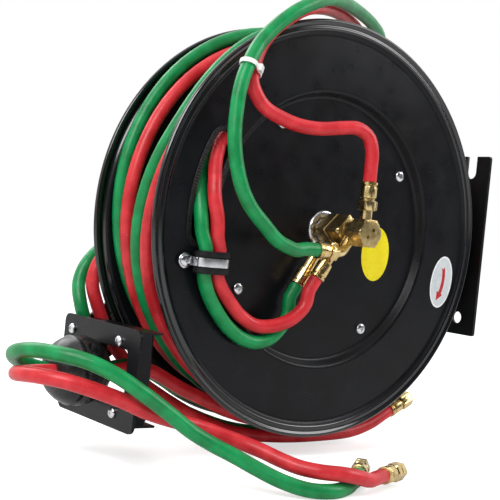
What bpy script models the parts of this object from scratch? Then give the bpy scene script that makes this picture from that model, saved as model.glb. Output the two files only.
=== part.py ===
"""Wall-mounted spring-retractable reel for a twin welding hose, metres, +Z up.

The part's origin is the centre of the wall plate's back face, with +X towards the wall.
Everything else is laid out from the reel centre: +X to the wall, +Y back along the drum's
axis, +Z up, with y = 0 on the front flange's outer rim plane.  Lengths below are millimetres.
"""
import math

import bmesh
import bpy
from mathutils import Matrix, Vector

for old in list(bpy.data.objects):
    bpy.data.objects.remove(old, do_unlink=True)

MM = 0.001
GAP = 0.3

# Overall layout
WALL_X = 244.0
WIDTH = 115.0
MID_Y = WIDTH / 2.0
MOUNT_Y = 75.0

# Flanges
FLANGE_R = 220.0
SHEET = 1.5
FLOOR_R = 139.5
FLOOR_Y = 13.5
STEP_RUN = 5.5
STEP_R = FLOOR_R + STEP_RUN
ANNULUS_Y = 4.0
BORE_R = 13.0
FLANGE_SEGMENTS = 44
BOLT_INSET = 14.7
BOLT_CIRCLE = FLOOR_R - BOLT_INSET
BOLT_ANGLE = 33.26
BOLT_COUNT = 4
BARREL_R = FLOOR_R - 1.0
# Rolled double bead as (distance in from the rim, y), round its outside and back along its inside
RIM_OUTSIDE = ((15.5, ANNULUS_Y), (11.0, -0.8), (7.0, 1.2), (3.0, -1.8), (0.0, 1.2), (2.0, 4.6))
RIM_INSIDE = ((6.8, 3.4), (10.6, 1.5), (14.7, ANNULUS_Y + SHEET))

# Hose
HOSE_D = 14.0
HOSE_R = HOSE_D / 2.0
PAIR_Y = (53.5, 68.5)
LAYER_STEP = HOSE_D + 0.6
LAYER_LOW = 183.4
LAYER_HIGH = LAYER_LOW + LAYER_STEP
LAYER_TOP = LAYER_HIGH + LAYER_STEP
CORE_R = 173.5
POCKET_TURNS = (-12.0, 95.0)
POCKET_Y = 40.0
BAND_TURNS = (234.0, 344.0)
BAND_R = 188.0
BAND_Y = 41.0
LOOP_POINTS = 24
RUN_OFF = 262.0
LAST_TURN = RUN_OFF + 1080.0
JOIN_AT = 32.0
# Where a wound hose changes layer: (turn it begins, turn it takes, rise)
WOUND_CLIMBS = {
    "red": [(600.0, 90.0, LAYER_STEP), (1215.0, 45.0, LAYER_STEP)],
    "green": [(635.0, 170.0, 2.0 * LAYER_STEP), (825.0, 80.0, -LAYER_STEP), (1103.0, 38.0, LAYER_STEP)],
}
# Where it moves along the drum: (turn it begins, turn it takes, y before or None at the slot, y after)
WOUND_SHIFTS = {
    "red": [(130.0, 95.0, None, 49.0), (490.0, 95.0, 49.0, 84.0), (730.0, 60.0, 84.0, 90.0),
            (790.0, 140.0, 90.0, 52.0), (1050.0, 80.0, 52.0, 13.0), (1215.0, 45.0, 13.0, 24.0)],
    "green": [(130.0, 95.0, None, 66.5), (490.0, 95.0, 66.5, 102.0), (870.0, 120.0, 102.0, 68.0),
              (1055.0, 95.0, 68.0, 17.0), (1180.0, 60.0, 17.0, 38.6)],
}

# Slot that lets the hoses through the front flange
SLOT_IN = STEP_R + 5.0
SLOT_OUT = SLOT_IN + 25.5
SLOT_FROM = -9.5
SLOT_TO = 31.5
TRIM_GRIP = 4.0
TRIM_LIP = 1.5

# Shaft and swivel
SHAFT_R = 12.5
STEM_R = 6.0
ROTOR_HALF = 13.0
ROTOR_Y = (-30.0, 8.0)
CAP_Y = (-62.0, -42.0)
CAP_FLAT = 14.0

# Ratchet behind the rear flange
RATCHET_TEETH = 12
RATCHET_R = (52.0, 60.0)
RATCHET_Y = (101.8, 110.2)
PAWL_Y = (105.0, 109.8)
PAWL_X = 88.0
PAWL_Z = 30.0
PAWL_PIN_R = 3.0

# Guide
GUIDE_X = -231.0
GUIDE_T = 3.0
GUIDE_Y = (-18.0, 131.0)
GUIDE_Z = (-207.0, -110.5)
WINDOW_Y = (2.0, 114.0)
WINDOW_Z = (-187.0, -131.0)
SCREW_Y = (19.0, 112.5)
SCREW_Z = (-192.7, -124.8)
STOP_X = -251.0
STOP_R = 34.0
STOP_Z = -159.0
STOP_Y = sum(PAIR_Y) / 2.0

ROOT = bpy.data.objects.new("mount_origin", None)
bpy.context.scene.collection.objects.link(ROOT)
REEL = bpy.data.objects.new("reel_centre", None)
bpy.context.scene.collection.objects.link(REEL)
REEL.parent = ROOT
REEL.location = (-WALL_X * MM, -MOUNT_Y * MM, 0.0)


# ---------------------------------------------------------------- materials
def make_material(name, colour, metallic, roughness):
    material = bpy.data.materials.new(name)
    material.use_nodes = True
    shader = material.node_tree.nodes["Principled BSDF"]
    shader.inputs["Base Color"].default_value = (*colour, 1.0)
    shader.inputs["Metallic"].default_value = metallic
    shader.inputs["Roughness"].default_value = roughness
    return material


BLACK = make_material("black_coat", (0.016, 0.018, 0.024), 0.0, 0.35)
BRASS = make_material("brass", (0.78, 0.60, 0.28), 1.0, 0.30)
ZINC = make_material("zinc", (0.75, 0.76, 0.78), 1.0, 0.25)
STEEL = make_material("steel", (0.42, 0.43, 0.45), 1.0, 0.40)
GREEN = make_material("green_hose", (0.0, 0.24, 0.075), 0.0, 0.42)
RED = make_material("red_hose", (0.75, 0.03, 0.045), 0.0, 0.42)
RUBBER = make_material("black_rubber", (0.02, 0.02, 0.021), 0.0, 0.6)
WHITE = make_material("white_plastic", (0.85, 0.85, 0.83), 0.0, 0.4)


# ---------------------------------------------------------------- mesh helpers
def add_mesh(name, bm, material, sharp=35.0, at=(0.0, 0.0, 0.0)):
    bmesh.ops.recalc_face_normals(bm, faces=bm.faces)
    bmesh.ops.translate(bm, verts=bm.verts, vec=-Vector(at))
    bmesh.ops.scale(bm, verts=bm.verts, vec=(MM, MM, MM))
    mesh = bpy.data.meshes.new(name)
    bm.to_mesh(mesh)
    bm.free()
    mesh.shade_smooth()
    mesh.set_sharp_from_angle(angle=math.radians(sharp))
    obj = bpy.data.objects.new(name, mesh)
    obj.data.materials.append(material)
    bpy.context.scene.collection.objects.link(obj)
    obj.parent = REEL
    obj.location = Vector(at) * MM
    return obj


def boolean(target, cutter, operation="DIFFERENCE"):
    cutter.hide_render = True
    cutter.display_type = "WIRE"
    modifier = target.modifiers.new(operation.lower(), "BOOLEAN")
    modifier.operation = operation
    modifier.solver = "EXACT"
    modifier.object = cutter


def frame_along(direction):
    forward = Vector(direction).normalized()
    helper = Vector((0.0, 0.0, 1.0))
    if abs(forward.dot(helper)) > 0.9:
        helper = Vector((1.0, 0.0, 0.0))
    side = forward.cross(helper).normalized()
    return forward, side, side.cross(forward)


def shaped_radius(shape, radius, angle):
    """Radius of a round, or of a polygon given by its half width across flats."""
    if shape == "round":
        return radius
    pitch = 2.0 * math.pi / shape
    return radius / math.cos((angle % pitch) - pitch / 2.0)


def lathe(name, rings, material, origin=(0, 0, 0), axis=(0, 1, 0), count=24, ring=False, sharp=35.0):
    """Stack of rings (distance, radius, shape) along an axis; a ring body closes on itself."""
    forward, side, up = frame_along(axis)
    origin = Vector(origin)
    bm = bmesh.new()
    loops = []
    for distance, radius, shape in rings:
        loop = []
        for i in range(count):
            angle = 2.0 * math.pi * i / count
            r = shaped_radius(shape, radius, angle)
            point = origin + forward * distance + side * (r * math.cos(angle)) + up * (r * math.sin(angle))
            loop.append(bm.verts.new(point))
        loops.append(loop)
    pairs = list(zip(loops, loops[1:]))
    if ring:
        pairs.append((loops[-1], loops[0]))
    else:
        bm.faces.new(loops[0])
        bm.faces.new(loops[-1])
    for a, b in pairs:
        for i in range(count):
            j = (i + 1) % count
            bm.faces.new((a[i], a[j], b[j], b[i]))
    return add_mesh(name, bm, material, sharp, at=origin)


def prism(name, outline, low, high, axis, material, at=(0, 0, 0)):
    """Flat outline extruded along X, Y or Z; the outline is in the other two axes, in order."""
    bm = bmesh.new()

    def place(a, b, c):
        if axis == "X":
            return (c, a, b)
        if axis == "Y":
            return (a, c, b)
        return (a, b, c)

    bottom = [bm.verts.new(place(a, b, low)) for a, b in outline]
    top = [bm.verts.new(place(a, b, high)) for a, b in outline]
    bm.faces.new(bottom)
    bm.faces.new(top)
    for i in range(len(outline)):
        j = (i + 1) % len(outline)
        bm.faces.new((bottom[i], bottom[j], top[j], top[i]))
    return add_mesh(name, bm, material, at=at)


def circle(cx, cy, radius, count, start=0.0):
    points = []
    for i in range(count):
        angle = math.radians(start) + 2.0 * math.pi * i / count
        points.append((cx + radius * math.cos(angle), cy + radius * math.sin(angle)))
    return points


def arc(cx, cy, radius, start, end, count):
    points = []
    for i in range(count):
        angle = math.radians(start + (end - start) * i / (count - 1))
        points.append((cx + radius * math.cos(angle), cy + radius * math.sin(angle)))
    return points


def rounded_box(low, high, radius, steps=4):
    (x0, y0), (x1, y1) = low, high
    points = arc(x1 - radius, y1 - radius, radius, 0, 90, steps)
    points += arc(x0 + radius, y1 - radius, radius, 90, 180, steps)
    points += arc(x0 + radius, y0 + radius, radius, 180, 270, steps)
    points += arc(x1 - radius, y0 + radius, radius, 270, 360, steps)
    return points


def hull(points):
    points = sorted(set((round(x, 5), round(y, 5)) for x, y in points))

    def half(items):
        chain = []
        for p in items:
            while len(chain) > 1:
                a, b = chain[-2], chain[-1]
                if (b[0] - a[0]) * (p[1] - a[1]) - (b[1] - a[1]) * (p[0] - a[0]) > 0.0:
                    break
                chain.pop()
            chain.append(p)
        return chain[:-1]

    return half(points) + half(reversed(points))


# ---------------------------------------------------------------- routes
def ease(t):
    t = min(max(t, 0.0), 1.0)
    return t * t * (3.0 - 2.0 * t)


def bend(t):
    t = min(max(t, 0.0), 1.0)
    if t < 0.5:
        return 2.0 * t * t
    return 1.0 - 2.0 * (1.0 - t) ** 2


def on_drum(turn, radius, y):
    """Point at a winding angle: 0 at the left, growing over the top to the right."""
    angle = math.radians(180.0 - turn)
    return Vector((radius * math.cos(angle), y, radius * math.sin(angle)))


def along_drum(turn):
    angle = math.radians(180.0 - turn)
    return Vector((math.sin(angle), 0.0, -math.cos(angle)))


def smooth_route(points, spacing):
    """Evenly spaced points on a smooth curve through the route points; both end pieces stay straight."""
    pts = [Vector(p) for p in points]
    dense = []
    steps = 12
    for i in range(1, len(pts) - 2):
        p0, p1, p2, p3 = pts[i - 1:i + 3]
        t0 = 0.0
        t1 = t0 + math.sqrt((p1 - p0).length)
        t2 = t1 + math.sqrt((p2 - p1).length)
        t3 = t2 + math.sqrt((p3 - p2).length)
        for k in range(steps):
            t = t1 + (t2 - t1) * k / steps
            a1 = p0 * ((t1 - t) / (t1 - t0)) + p1 * ((t - t0) / (t1 - t0))
            a2 = p1 * ((t2 - t) / (t2 - t1)) + p2 * ((t - t1) / (t2 - t1))
            a3 = p2 * ((t3 - t) / (t3 - t2)) + p3 * ((t - t2) / (t3 - t2))
            b1 = a1 * ((t2 - t) / (t2 - t0)) + a2 * ((t - t0) / (t2 - t0))
            b2 = a2 * ((t3 - t) / (t3 - t1)) + a3 * ((t - t1) / (t3 - t1))
            dense.append(b1 * ((t2 - t) / (t2 - t1)) + b2 * ((t - t1) / (t2 - t1)))
    dense.append(pts[-2])
    lengths = [0.0]
    for a, b in zip(dense, dense[1:]):
        lengths.append(lengths[-1] + (b - a).length)
    total = lengths[-1]
    count = max(2, round(total / spacing))
    result = [pts[0], pts[1]]
    index = 0
    for i in range(1, count):
        target = total * i / count
        while lengths[index + 1] < target:
            index += 1
        share = (target - lengths[index]) / (lengths[index + 1] - lengths[index])
        result.append(dense[index].lerp(dense[index + 1], share))
    result += [pts[-2], pts[-1]]
    return result


def route_length(points):
    return sum((b - a).length for a, b in zip(points, points[1:]))


def tube(name, points, radius, material, resolution):
    curve = bpy.data.curves.new(name, "CURVE")
    curve.dimensions = "3D"
    curve.bevel_depth = radius * MM
    curve.bevel_resolution = resolution
    curve.use_fill_caps = True
    spline = curve.splines.new("POLY")
    spline.points.add(len(points) - 1)
    for slot, point in zip(spline.points, points):
        slot.co = (point[0] * MM, point[1] * MM, point[2] * MM, 1.0)
    spline.use_smooth = True
    curve.materials.append(material)
    obj = bpy.data.objects.new(name, curve)
    bpy.context.scene.collection.objects.link(obj)
    obj.parent = REEL
    return obj


def least_self_gap(points, diameter):
    """Least distance between the faces of far-apart stretches of one tube."""
    least = 1e9
    pts = [Vector(p) for p in points]
    for i in range(len(pts) - 1):
        for j in range(i + 4, len(pts) - 1):
            least = min(least, segment_distance(pts[i], pts[i + 1], pts[j], pts[j + 1]))
    return least - diameter


def segment_distance(a, b, c, d):
    least = 1e9
    for k in range(7):
        p = a.lerp(b, k / 6.0)
        line = d - c
        t = min(max((p - c).dot(line) / line.dot(line), 0.0), 1.0)
        least = min(least, (p - (c + line * t)).length)
    return least


# ---------------------------------------------------------------- wall bracket
def build_wall_plate():
    half = 107.5
    front, back = 2.0, 148.0
    slot_y, slot_half, slot_deep = 28.0, 7.5, 27.0
    outline = [(front, -half + 3), (front + 3, -half), (back - 3, -half), (back, -half + 3)]
    outline += [(back, half - 3), (back - 3, half)]
    for centre in (back - slot_y, front + slot_y):
        outline.append((centre + slot_half, half))
        outline += arc(centre, half - slot_deep + slot_half, slot_half, 0, -180, 9)
        outline.append((centre - slot_half, half))
    outline += [(front + 3, half), (front, half - 3)]
    plate = prism("wall_plate", outline, WALL_X - 4.0, WALL_X, "X", BLACK)
    for centre in (front + 27.5, back - 27.5):
        hole = prism("cut_wall_hole", circle(centre, -half + 20.0, 7.0, 24), 230.0, 250.0, "X", BLACK)
        boolean(plate, hole)


def build_pedestal():
    outline = hull(circle(0, 0, 32.0, 40) + [(235.0, 60.0), (239.7, 62.0), (239.7, -62.0), (235.0, -60.0)])
    arm = prism("pedestal_arm", outline, 119.0, 124.0, "Y", BLACK)
    boolean(arm, prism("cut_arm_bore", circle(0, 0, SHAFT_R + GAP, 32), 110.0, 130.0, "Y", BLACK))
    foot = prism("add_arm_foot", rounded_box((90.0, -70.0), (141.0, 70.0), 4.0), 234.7, 239.7, "X", BLACK)
    boolean(arm, foot, "UNION")
    pin = lathe("add_pawl_pin", [(0, PAWL_PIN_R, "round"), (20.0, PAWL_PIN_R, "round")], BLACK,
                (PAWL_X, RATCHET_Y[0] + 0.4, PAWL_Z), count=16)
    boolean(arm, pin, "UNION")


def build_shaft():
    rings = [(9.0, STEM_R + GAP, "round"), (9.0, SHAFT_R, "round"), (116.5, SHAFT_R, "round")]
    rings += [(116.5, 18.0, "round"), (118.7, 18.0, "round"), (118.7, SHAFT_R, "round")]
    rings += [(124.3, SHAFT_R, "round"), (124.3, 18.0, "round"), (134.2, 18.0, "round")]
    rings += [(134.2, SHAFT_R, "round"), (154.0, SHAFT_R, "round"), (155.0, 11.5, "round")]
    rings += [(155.0, STEM_R + GAP, "round")]
    lathe("main_shaft", rings, STEEL, count=16, ring=True)
    bore = SHAFT_R + 0.8
    nut = [(138.8, bore, "round"), (138.8, 18.0, 6), (149.0, 18.0, 6), (149.0, bore, "round")]
    lathe("shaft_nut", nut, ZINC, count=12, ring=True)


# ---------------------------------------------------------------- drum
def flange_profile(mirror):
    outer = [(BORE_R, FLOOR_Y), (FLOOR_R, FLOOR_Y), (STEP_R, ANNULUS_Y)]
    outer += [(FLANGE_R - inset, y) for inset, y in RIM_OUTSIDE]
    inner = [(FLANGE_R - inset, y) for inset, y in RIM_INSIDE]
    inner += [(STEP_R + 0.9, ANNULUS_Y + SHEET), (FLOOR_R + 0.9, FLOOR_Y + SHEET), (BORE_R, FLOOR_Y + SHEET)]
    rings = []
    for radius, y in outer + inner:
        rings.append((WIDTH - y if mirror else y, radius, "round"))
    return rings


def slot_outline():
    """Slot in the flange as (x, z, outward normal x, outward normal z) round its edge."""
    middle = (SLOT_IN + SLOT_OUT) / 2.0
    half = (SLOT_OUT - SLOT_IN) / 2.0
    points = []
    margin = math.degrees(half / middle)
    low, high = SLOT_FROM + margin, SLOT_TO - margin
    steps = 5
    for i in range(steps + 1):
        turn = low + (high - low) * i / steps
        direction = on_drum(turn, 1.0, 0.0)
        points.append((SLOT_OUT * direction.x, SLOT_OUT * direction.z, direction.x, direction.z))
    for turn, sign in ((high, 1.0), (low, -1.0)):
        centre = on_drum(turn, middle, 0.0)
        radial = on_drum(turn, 1.0, 0.0)
        tangent = along_drum(turn)
        for k in range(1, 4):
            angle = math.pi * k / 4.0
            normal = radial * (math.cos(angle) * sign) + tangent * (math.sin(angle) * sign)
            place = centre + normal * half
            points.append((place.x, place.z, normal.x, normal.z))
        if sign > 0.0:
            for i in range(steps + 1):
                turn_in = high + (low - high) * i / steps
                direction = on_drum(turn_in, 1.0, 0.0)
                points.append((SLOT_IN * direction.x, SLOT_IN * direction.z, -direction.x, -direction.z))
    return points


def build_flanges():
    for name, mirror in (("flange_front", False), ("flange_rear", True)):
        flange = lathe(name, flange_profile(mirror), BLACK, count=FLANGE_SEGMENTS, ring=True, sharp=30.0)
        y0 = 80.0 if mirror else 0.0
        for i in range(BOLT_COUNT):
            angle = math.radians(BOLT_ANGLE + 360.0 * i / BOLT_COUNT)
            cx, cz = BOLT_CIRCLE * math.cos(angle), BOLT_CIRCLE * math.sin(angle)
            hole = prism("cut_bolt_hole", circle(cx, cz, 3.3, 12), y0, y0 + 35.0, "Y", BLACK)
            boolean(flange, hole)
        if not mirror:
            outline = [(x, z) for x, z, _, _ in slot_outline()]
            boolean(flange, prism("cut_slot", outline, -5.0, 20.0, "Y", BLACK))


def build_slot_trim():
    lip_y = (ANNULUS_Y - 1.6, ANNULUS_Y + SHEET + 1.6)
    face_y = (ANNULUS_Y - GAP, ANNULUS_Y + SHEET + GAP)
    section = [(TRIM_LIP, lip_y[0]), (TRIM_LIP, lip_y[1]), (-TRIM_GRIP, lip_y[1]), (-TRIM_GRIP, face_y[1])]
    section += [(GAP, face_y[1]), (GAP, face_y[0]), (-TRIM_GRIP, face_y[0]), (-TRIM_GRIP, lip_y[0])]
    bm = bmesh.new()
    loops = []
    for x, z, nx, nz in slot_outline():
        loops.append([bm.verts.new((x - nx * n, y, z - nz * n)) for n, y in section])
    for a, b in zip(loops, loops[1:] + loops[:1]):
        for i in range(len(section)):
            j = (i + 1) % len(section)
            bm.faces.new((a[i], a[j], b[j], b[i]))
    add_mesh("slot_trim", bm, RUBBER)


def build_drum_inside():
    front, rear = FLOOR_Y + SHEET + GAP, WIDTH - FLOOR_Y - SHEET - GAP
    inner, outer = BARREL_R - SHEET, BARREL_R
    barrel = [(front, inner, "round"), (front, outer, "round"), (rear, outer, "round"), (rear, inner, "round")]
    lathe("core_barrel", barrel, BLACK, count=36, ring=True)
    for name, low, high in (("bearing_front", front, 28.0), ("bearing_rear", 92.0, rear)):
        rings = [(low, SHAFT_R + GAP, "round"), (low, 24.0, "round")]
        rings += [(high, 24.0, "round"), (high, SHAFT_R + GAP, "round")]
        lathe(name, rings, STEEL, count=16, ring=True)
    ring = [(10.4, BORE_R, "round"), (9.6, 14.5, "round"), (9.6, 19.0, "round")]
    ring += [(11.0, 20.5, "round"), (13.2, 20.5, "round"), (13.2, BORE_R, "round")]
    lathe("hub_ring", ring, ZINC, count=24, ring=True)
    for i in range(BOLT_COUNT):
        angle = math.radians(BOLT_ANGLE + 360.0 * i / BOLT_COUNT)
        centre = (BOLT_CIRCLE * math.cos(angle), 0.0, BOLT_CIRCLE * math.sin(angle))
        rings = [(10.0, 4.0, "round"), (10.8, 6.2, "round"), (13.2, 6.2, "round"), (13.2, 3.0, "round")]
        rings += [(101.8, 3.0, "round"), (101.8, 5.5, 6), (106.5, 5.5, 6)]
        lathe("drum_bolt_%d" % (i + 1), rings, ZINC, centre, count=12)


def build_spring():
    turns, steps, thick = 4.0, 18, 1.4
    low, high = 32.0, 89.0
    first, last = SHAFT_R + 0.5, 116.0
    count = int(turns * steps)
    bm = bmesh.new()
    loops = []
    for i in range(count + 1):
        share = i / count
        angle = 2.0 * math.pi * turns * share
        radius = first + (last - first) * share
        loop = []
        for r, y in ((radius, low), (radius + thick, low), (radius + thick, high), (radius, high)):
            loop.append(bm.verts.new((r * math.cos(angle), y, r * math.sin(angle))))
        loops.append(loop)
    bm.faces.new(loops[0])
    bm.faces.new(loops[-1])
    for a, b in zip(loops, loops[1:]):
        for i in range(4):
            j = (i + 1) % 4
            bm.faces.new((a[i], a[j], b[j], b[i]))
    add_mesh("main_spring", bm, STEEL)


def build_ratchet():
    low, high = RATCHET_R
    y0, y1 = RATCHET_Y
    pitch = 2.0 * math.pi / RATCHET_TEETH
    bm = bmesh.new()
    outer = []
    for i in range(RATCHET_TEETH):
        for share, radius in ((0.20, low), (0.55, low), (0.95, high)):
            angle = pitch * (i + share - 0.30)
            outer.append((radius * math.cos(angle), radius * math.sin(angle)))
    inner = []
    for x, z in outer:
        length = math.hypot(x, z)
        inner.append((x / length * 14.0, z / length * 14.0))
    loops = []
    for outline, y in ((outer, y0), (outer, y1), (inner, y1), (inner, y0)):
        loops.append([bm.verts.new((x, y, z)) for x, z in outline])
    for a, b in zip(loops, loops[1:] + loops[:1]):
        for i in range(len(a)):
            j = (i + 1) % len(a)
            bm.faces.new((a[i], a[j], b[j], b[i]))
    add_mesh("ratchet_wheel", bm, STEEL)
    tip = high + 2.5
    outline = hull(arc(PAWL_X, PAWL_Z, 8.0, -30, 200, 10) + [(tip + 5.0, -3.0), (tip + 0.5, -5.0), (tip, 1.5)])
    pawl = prism("pawl", outline, PAWL_Y[0], PAWL_Y[1], "Y", STEEL, at=(PAWL_X, sum(PAWL_Y) / 2.0, PAWL_Z))
    bore = prism("cut_pawl_bore", circle(PAWL_X, PAWL_Z, PAWL_PIN_R + GAP, 16), 95.0, 115.0, "Y", STEEL)
    boolean(pawl, bore)


# ---------------------------------------------------------------- swivel
def build_swivel():
    y0, y1 = ROTOR_Y
    rings = [(y0, STEM_R + GAP, "round"), (y0, 12.2, 4), (y0 + 0.8, ROTOR_HALF, 4)]
    rings += [(y1 - 0.8, ROTOR_HALF, 4), (y1, 12.2, 4), (y1, STEM_R + GAP, "round")]
    lathe("swivel_rotor", rings, BRASS, count=24, ring=True)
    c0, c1 = CAP_Y
    rings = [(c0, 11.0, "round"), (c0 + 1.2, CAP_FLAT, 6), (c1, CAP_FLAT, 6), (c1, 9.0, "round")]
    rings += [(y0 - 0.5, 9.0, "round"), (y0 - 0.5, STEM_R, "round"), (26.0, STEM_R, "round")]
    stem = lathe("swivel_stem", rings, BRASS, count=12)
    for x, z in ((3.2, 3.8), (-3.6, -3.4)):
        boolean(stem, prism("cut_cap_hole", circle(x, z, 1.9, 10), c0 - 2.0, c0 + 3.0, "Y", BRASS))


OUTLET_DIR = Vector((-0.53, 0.0, -0.85)).normalized()
OUTLETS = {"green": Vector((-2.0, -1.0, 0.0)), "red": Vector((2.0, -19.0, 0.0))}
OUTLET_START = {"green": 19.5, "red": 17.0}
OUTLET_LENGTH = {"green": 51.5, "red": 43.5}


def build_outlets():
    for colour, base in OUTLETS.items():
        start = OUTLET_START[colour]
        total = OUTLET_LENGTH[colour]
        rings = [(0.0, 5.0, "round"), (6.0, 5.0, "round"), (6.0, 7.5, 6), (15.0, 7.5, 6), (15.0, 6.4, "round")]
        rings += [(total - 20.0, 6.4, "round"), (total - 20.0, 8.2, "round"), (total - 7.0, 8.2, "round")]
        rings += [(total, 7.6, "round")]
        lathe("outlet_" + colour, rings, BRASS, base + OUTLET_DIR * start, OUTLET_DIR, count=12)


def outlet_end(colour):
    return OUTLETS[colour] + OUTLET_DIR * (OUTLET_START[colour] + OUTLET_LENGTH[colour] + GAP)


RED_INLET = Vector((0.0, -52.0, CAP_FLAT + GAP))
GREEN_INLET = Vector((-27.3, -40.0, -21.5))


def build_inlets():
    rings = [(0.0, 6.0, "round"), (9.0, 6.0, "round"), (9.0, 9.0, 6), (19.0, 9.0, 6), (19.0, 7.0, "round")]
    rings += [(21.0, 7.0, "round"), (21.0, 8.4, "round"), (37.0, 8.4, "round"), (38.0, 7.6, "round")]
    lathe("inlet_fitting_red", rings, BRASS, RED_INLET, (0, 0, 1), count=12)
    rings = [(0.0, 9.0, 6), (9.0, 9.0, 6), (9.0, 7.0, "round"), (10.0, 7.0, "round")]
    rings += [(10.0, 8.4, "round"), (22.0, 8.4, "round"), (23.0, 7.6, "round")]
    lathe("inlet_fitting_green", rings, BRASS, GREEN_INLET, (-1, 0, 0), count=12)
    path = [(-5.7, -36.3, -7.6), (-11.5, -36.4, -15.3), (-19.5, -40.0, -21.5), (-27.0, -40.0, -21.5)]
    points = [Vector(path[0]), Vector(path[1]), Vector(path[2]), Vector(path[3])]
    tube("inlet_elbow", points, 5.0, BRASS, 3)


# ---------------------------------------------------------------- clip on the front flange
CLIP_RED = (4.5 - SLOT_IN, -7.3)
CLIP_GREEN = (14.5 - SLOT_OUT, -7.3)
CLIP_Z = -43.5


def racetrack(a, b, radius, steps=8):
    return arc(b[0], b[1], radius, -90, 90, steps) + arc(a[0], a[1], radius, 90, 270, steps)


def ring_prism(name, inner, outer, low, high, material):
    bm = bmesh.new()
    loops = []
    for outline, z in ((outer, low), (outer, high), (inner, high), (inner, low)):
        loops.append([bm.verts.new((x, y, z)) for x, y in outline])
    for a, b in zip(loops, loops[1:] + loops[:1]):
        for i in range(len(a)):
            j = (i + 1) % len(a)
            bm.faces.new((a[i], a[j], b[j], b[i]))
    return add_mesh(name, bm, material)


def build_clip():
    inner = racetrack(CLIP_GREEN, CLIP_RED, HOSE_R + 0.8)
    outer = racetrack(CLIP_GREEN, CLIP_RED, HOSE_R + 2.4)
    ring_prism("clip_cushion", inner, outer, CLIP_Z - 11.0, CLIP_Z + 11.0, RUBBER)
    inner = racetrack(CLIP_GREEN, CLIP_RED, HOSE_R + 2.7)
    outer = racetrack(CLIP_GREEN, CLIP_RED, HOSE_R + 3.6)
    strap = ring_prism("clip_strap", inner, outer, CLIP_Z - 6.0, CLIP_Z + 6.0, ZINC)
    screw_x = CLIP_GREEN[0] - 18.0
    tab = prism("add_clip_tab", [(screw_x - 7.0, 1.5), (screw_x + 14.0, 1.5), (screw_x + 14.0, 3.1), (screw_x - 7.0, 3.1)],
                CLIP_Z - 6.0, CLIP_Z + 6.0, "Z", ZINC)
    hole = prism("cut_clip_tab", circle(screw_x, CLIP_Z, 2.8, 12), -10.0, 10.0, "Y", ZINC)
    boolean(strap, tab, "UNION")
    boolean(strap, hole)
    rings = [(-2.6, 3.0, "round"), (-1.6, 5.0, "round"), (1.2, 5.0, "round"), (1.2, 2.4, "round")]
    rings += [(3.4, 2.4, "round")]
    lathe("clip_screw", rings, ZINC, (screw_x, 0.0, CLIP_Z), count=12)


# ---------------------------------------------------------------- hoses on the drum
def red_slot(turn):
    radius = SLOT_IN + 1.0 + 8.0 * bend((turn + 4.0) / 15.0)
    return on_drum(turn, radius, -8.0 + 23.0 * bend((turn - 2.0) / 29.0))


def green_slot(turn):
    radius = SLOT_OUT - 9.5 - 5.0 * ease((turn - 2.0) / 20.0)
    return on_drum(turn, radius, -3.9 + 34.9 * bend((turn + 8.0) / 36.0))


def join_point(colour):
    return red_slot(JOIN_AT) if colour == "red" else green_slot(JOIN_AT)


def build_loops():
    routes = {}
    red = [outlet_end("red"), outlet_end("red") + OUTLET_DIR * HOSE_D]
    red += [(-39.5, -18.5, -77), (-48, -17.5, -88.5), (-60, -15, -97), (-76, -10, -102.5)]
    red += [(-93, -6, -102.5), (-110, -4, -94)]
    red += [(-125, -4.5, -81), (-137, -6.5, -69)]
    red += [(CLIP_RED[0], CLIP_RED[1], CLIP_Z + dz) for dz in (-12.0, -4.0, 4.0, 12.0)]
    red += [red_slot(turn) for turn in (-7.0, -3.0, 1.0, 5.0, 9.0, 13.0, 17.0, 21.0, 25.0)]
    routes["red"] = red
    green = [outlet_end("green"), outlet_end("green") + OUTLET_DIR * HOSE_D]
    green += [(-48, -1.5, -91), (-57, -2.5, -105), (-70, -3.5, -116), (-88, -4, -120), (-107, -4, -116)]
    green += [(-125, -4, -105)]
    green += [(-141, -4.5, -89), (-154, -6, -72)]
    green += [(CLIP_GREEN[0], CLIP_GREEN[1], CLIP_Z + dz) for dz in (-12.0, -4.0, 4.0, 12.0)]
    green += [green_slot(turn) for turn in (-5.0, -2.0, 2.0, 6.0, 10.0, 14.0, 18.0, 22.0)]
    routes["green"] = green
    for colour, material in (("red", RED), ("green", GREEN)):
        end = join_point(colour)
        route = routes[colour] + [end - along_drum(JOIN_AT) * HOSE_D, end]
        tube("loop_" + colour, smooth_route(route, 15.0), HOSE_R, material, 2)


def wound_track(colour, turn):
    """Winding radius and y of a hose at a winding angle, from the slot to its last turn."""
    start = join_point(colour)
    radius = math.hypot(start.x, start.z)
    y = start.y
    climbs = [(38.0, 60.0, LAYER_LOW - radius)] + WOUND_CLIMBS[colour]
    for begin, span, rise in climbs:
        radius += rise * ease((turn - begin) / span)
    for begin, span, end_before, end_after in WOUND_SHIFTS[colour]:
        shift = end_after - (start.y if end_before is None else end_before)
        y += shift * ease((turn - begin) / span)
    return radius, y


def wound_points(colour):
    step = 360.0 / LOOP_POINTS
    start = join_point(colour)
    points = [start + along_drum(JOIN_AT) * GAP, start + along_drum(JOIN_AT) * (GAP + HOSE_D)]
    turn = 45.0
    while turn < LAST_TURN - 1.0:
        radius, y = wound_track(colour, turn)
        points.append(on_drum(turn, radius, y))
        turn += step
    end = on_drum(LAST_TURN, *wound_track(colour, LAST_TURN))
    points.append(end - along_drum(LAST_TURN) * HOSE_D)
    points.append(end)
    return points


def sector(low, high, inner, outer, steps):
    """Outline in x and z between two winding angles and two radii."""
    edge = [on_drum(low + (high - low) * i / steps, outer, 0.0) for i in range(steps + 1)]
    edge += [on_drum(high + (low - high) * i / steps, inner, 0.0) for i in range(steps + 1)]
    return [(p.x, p.z) for p in edge]


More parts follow.
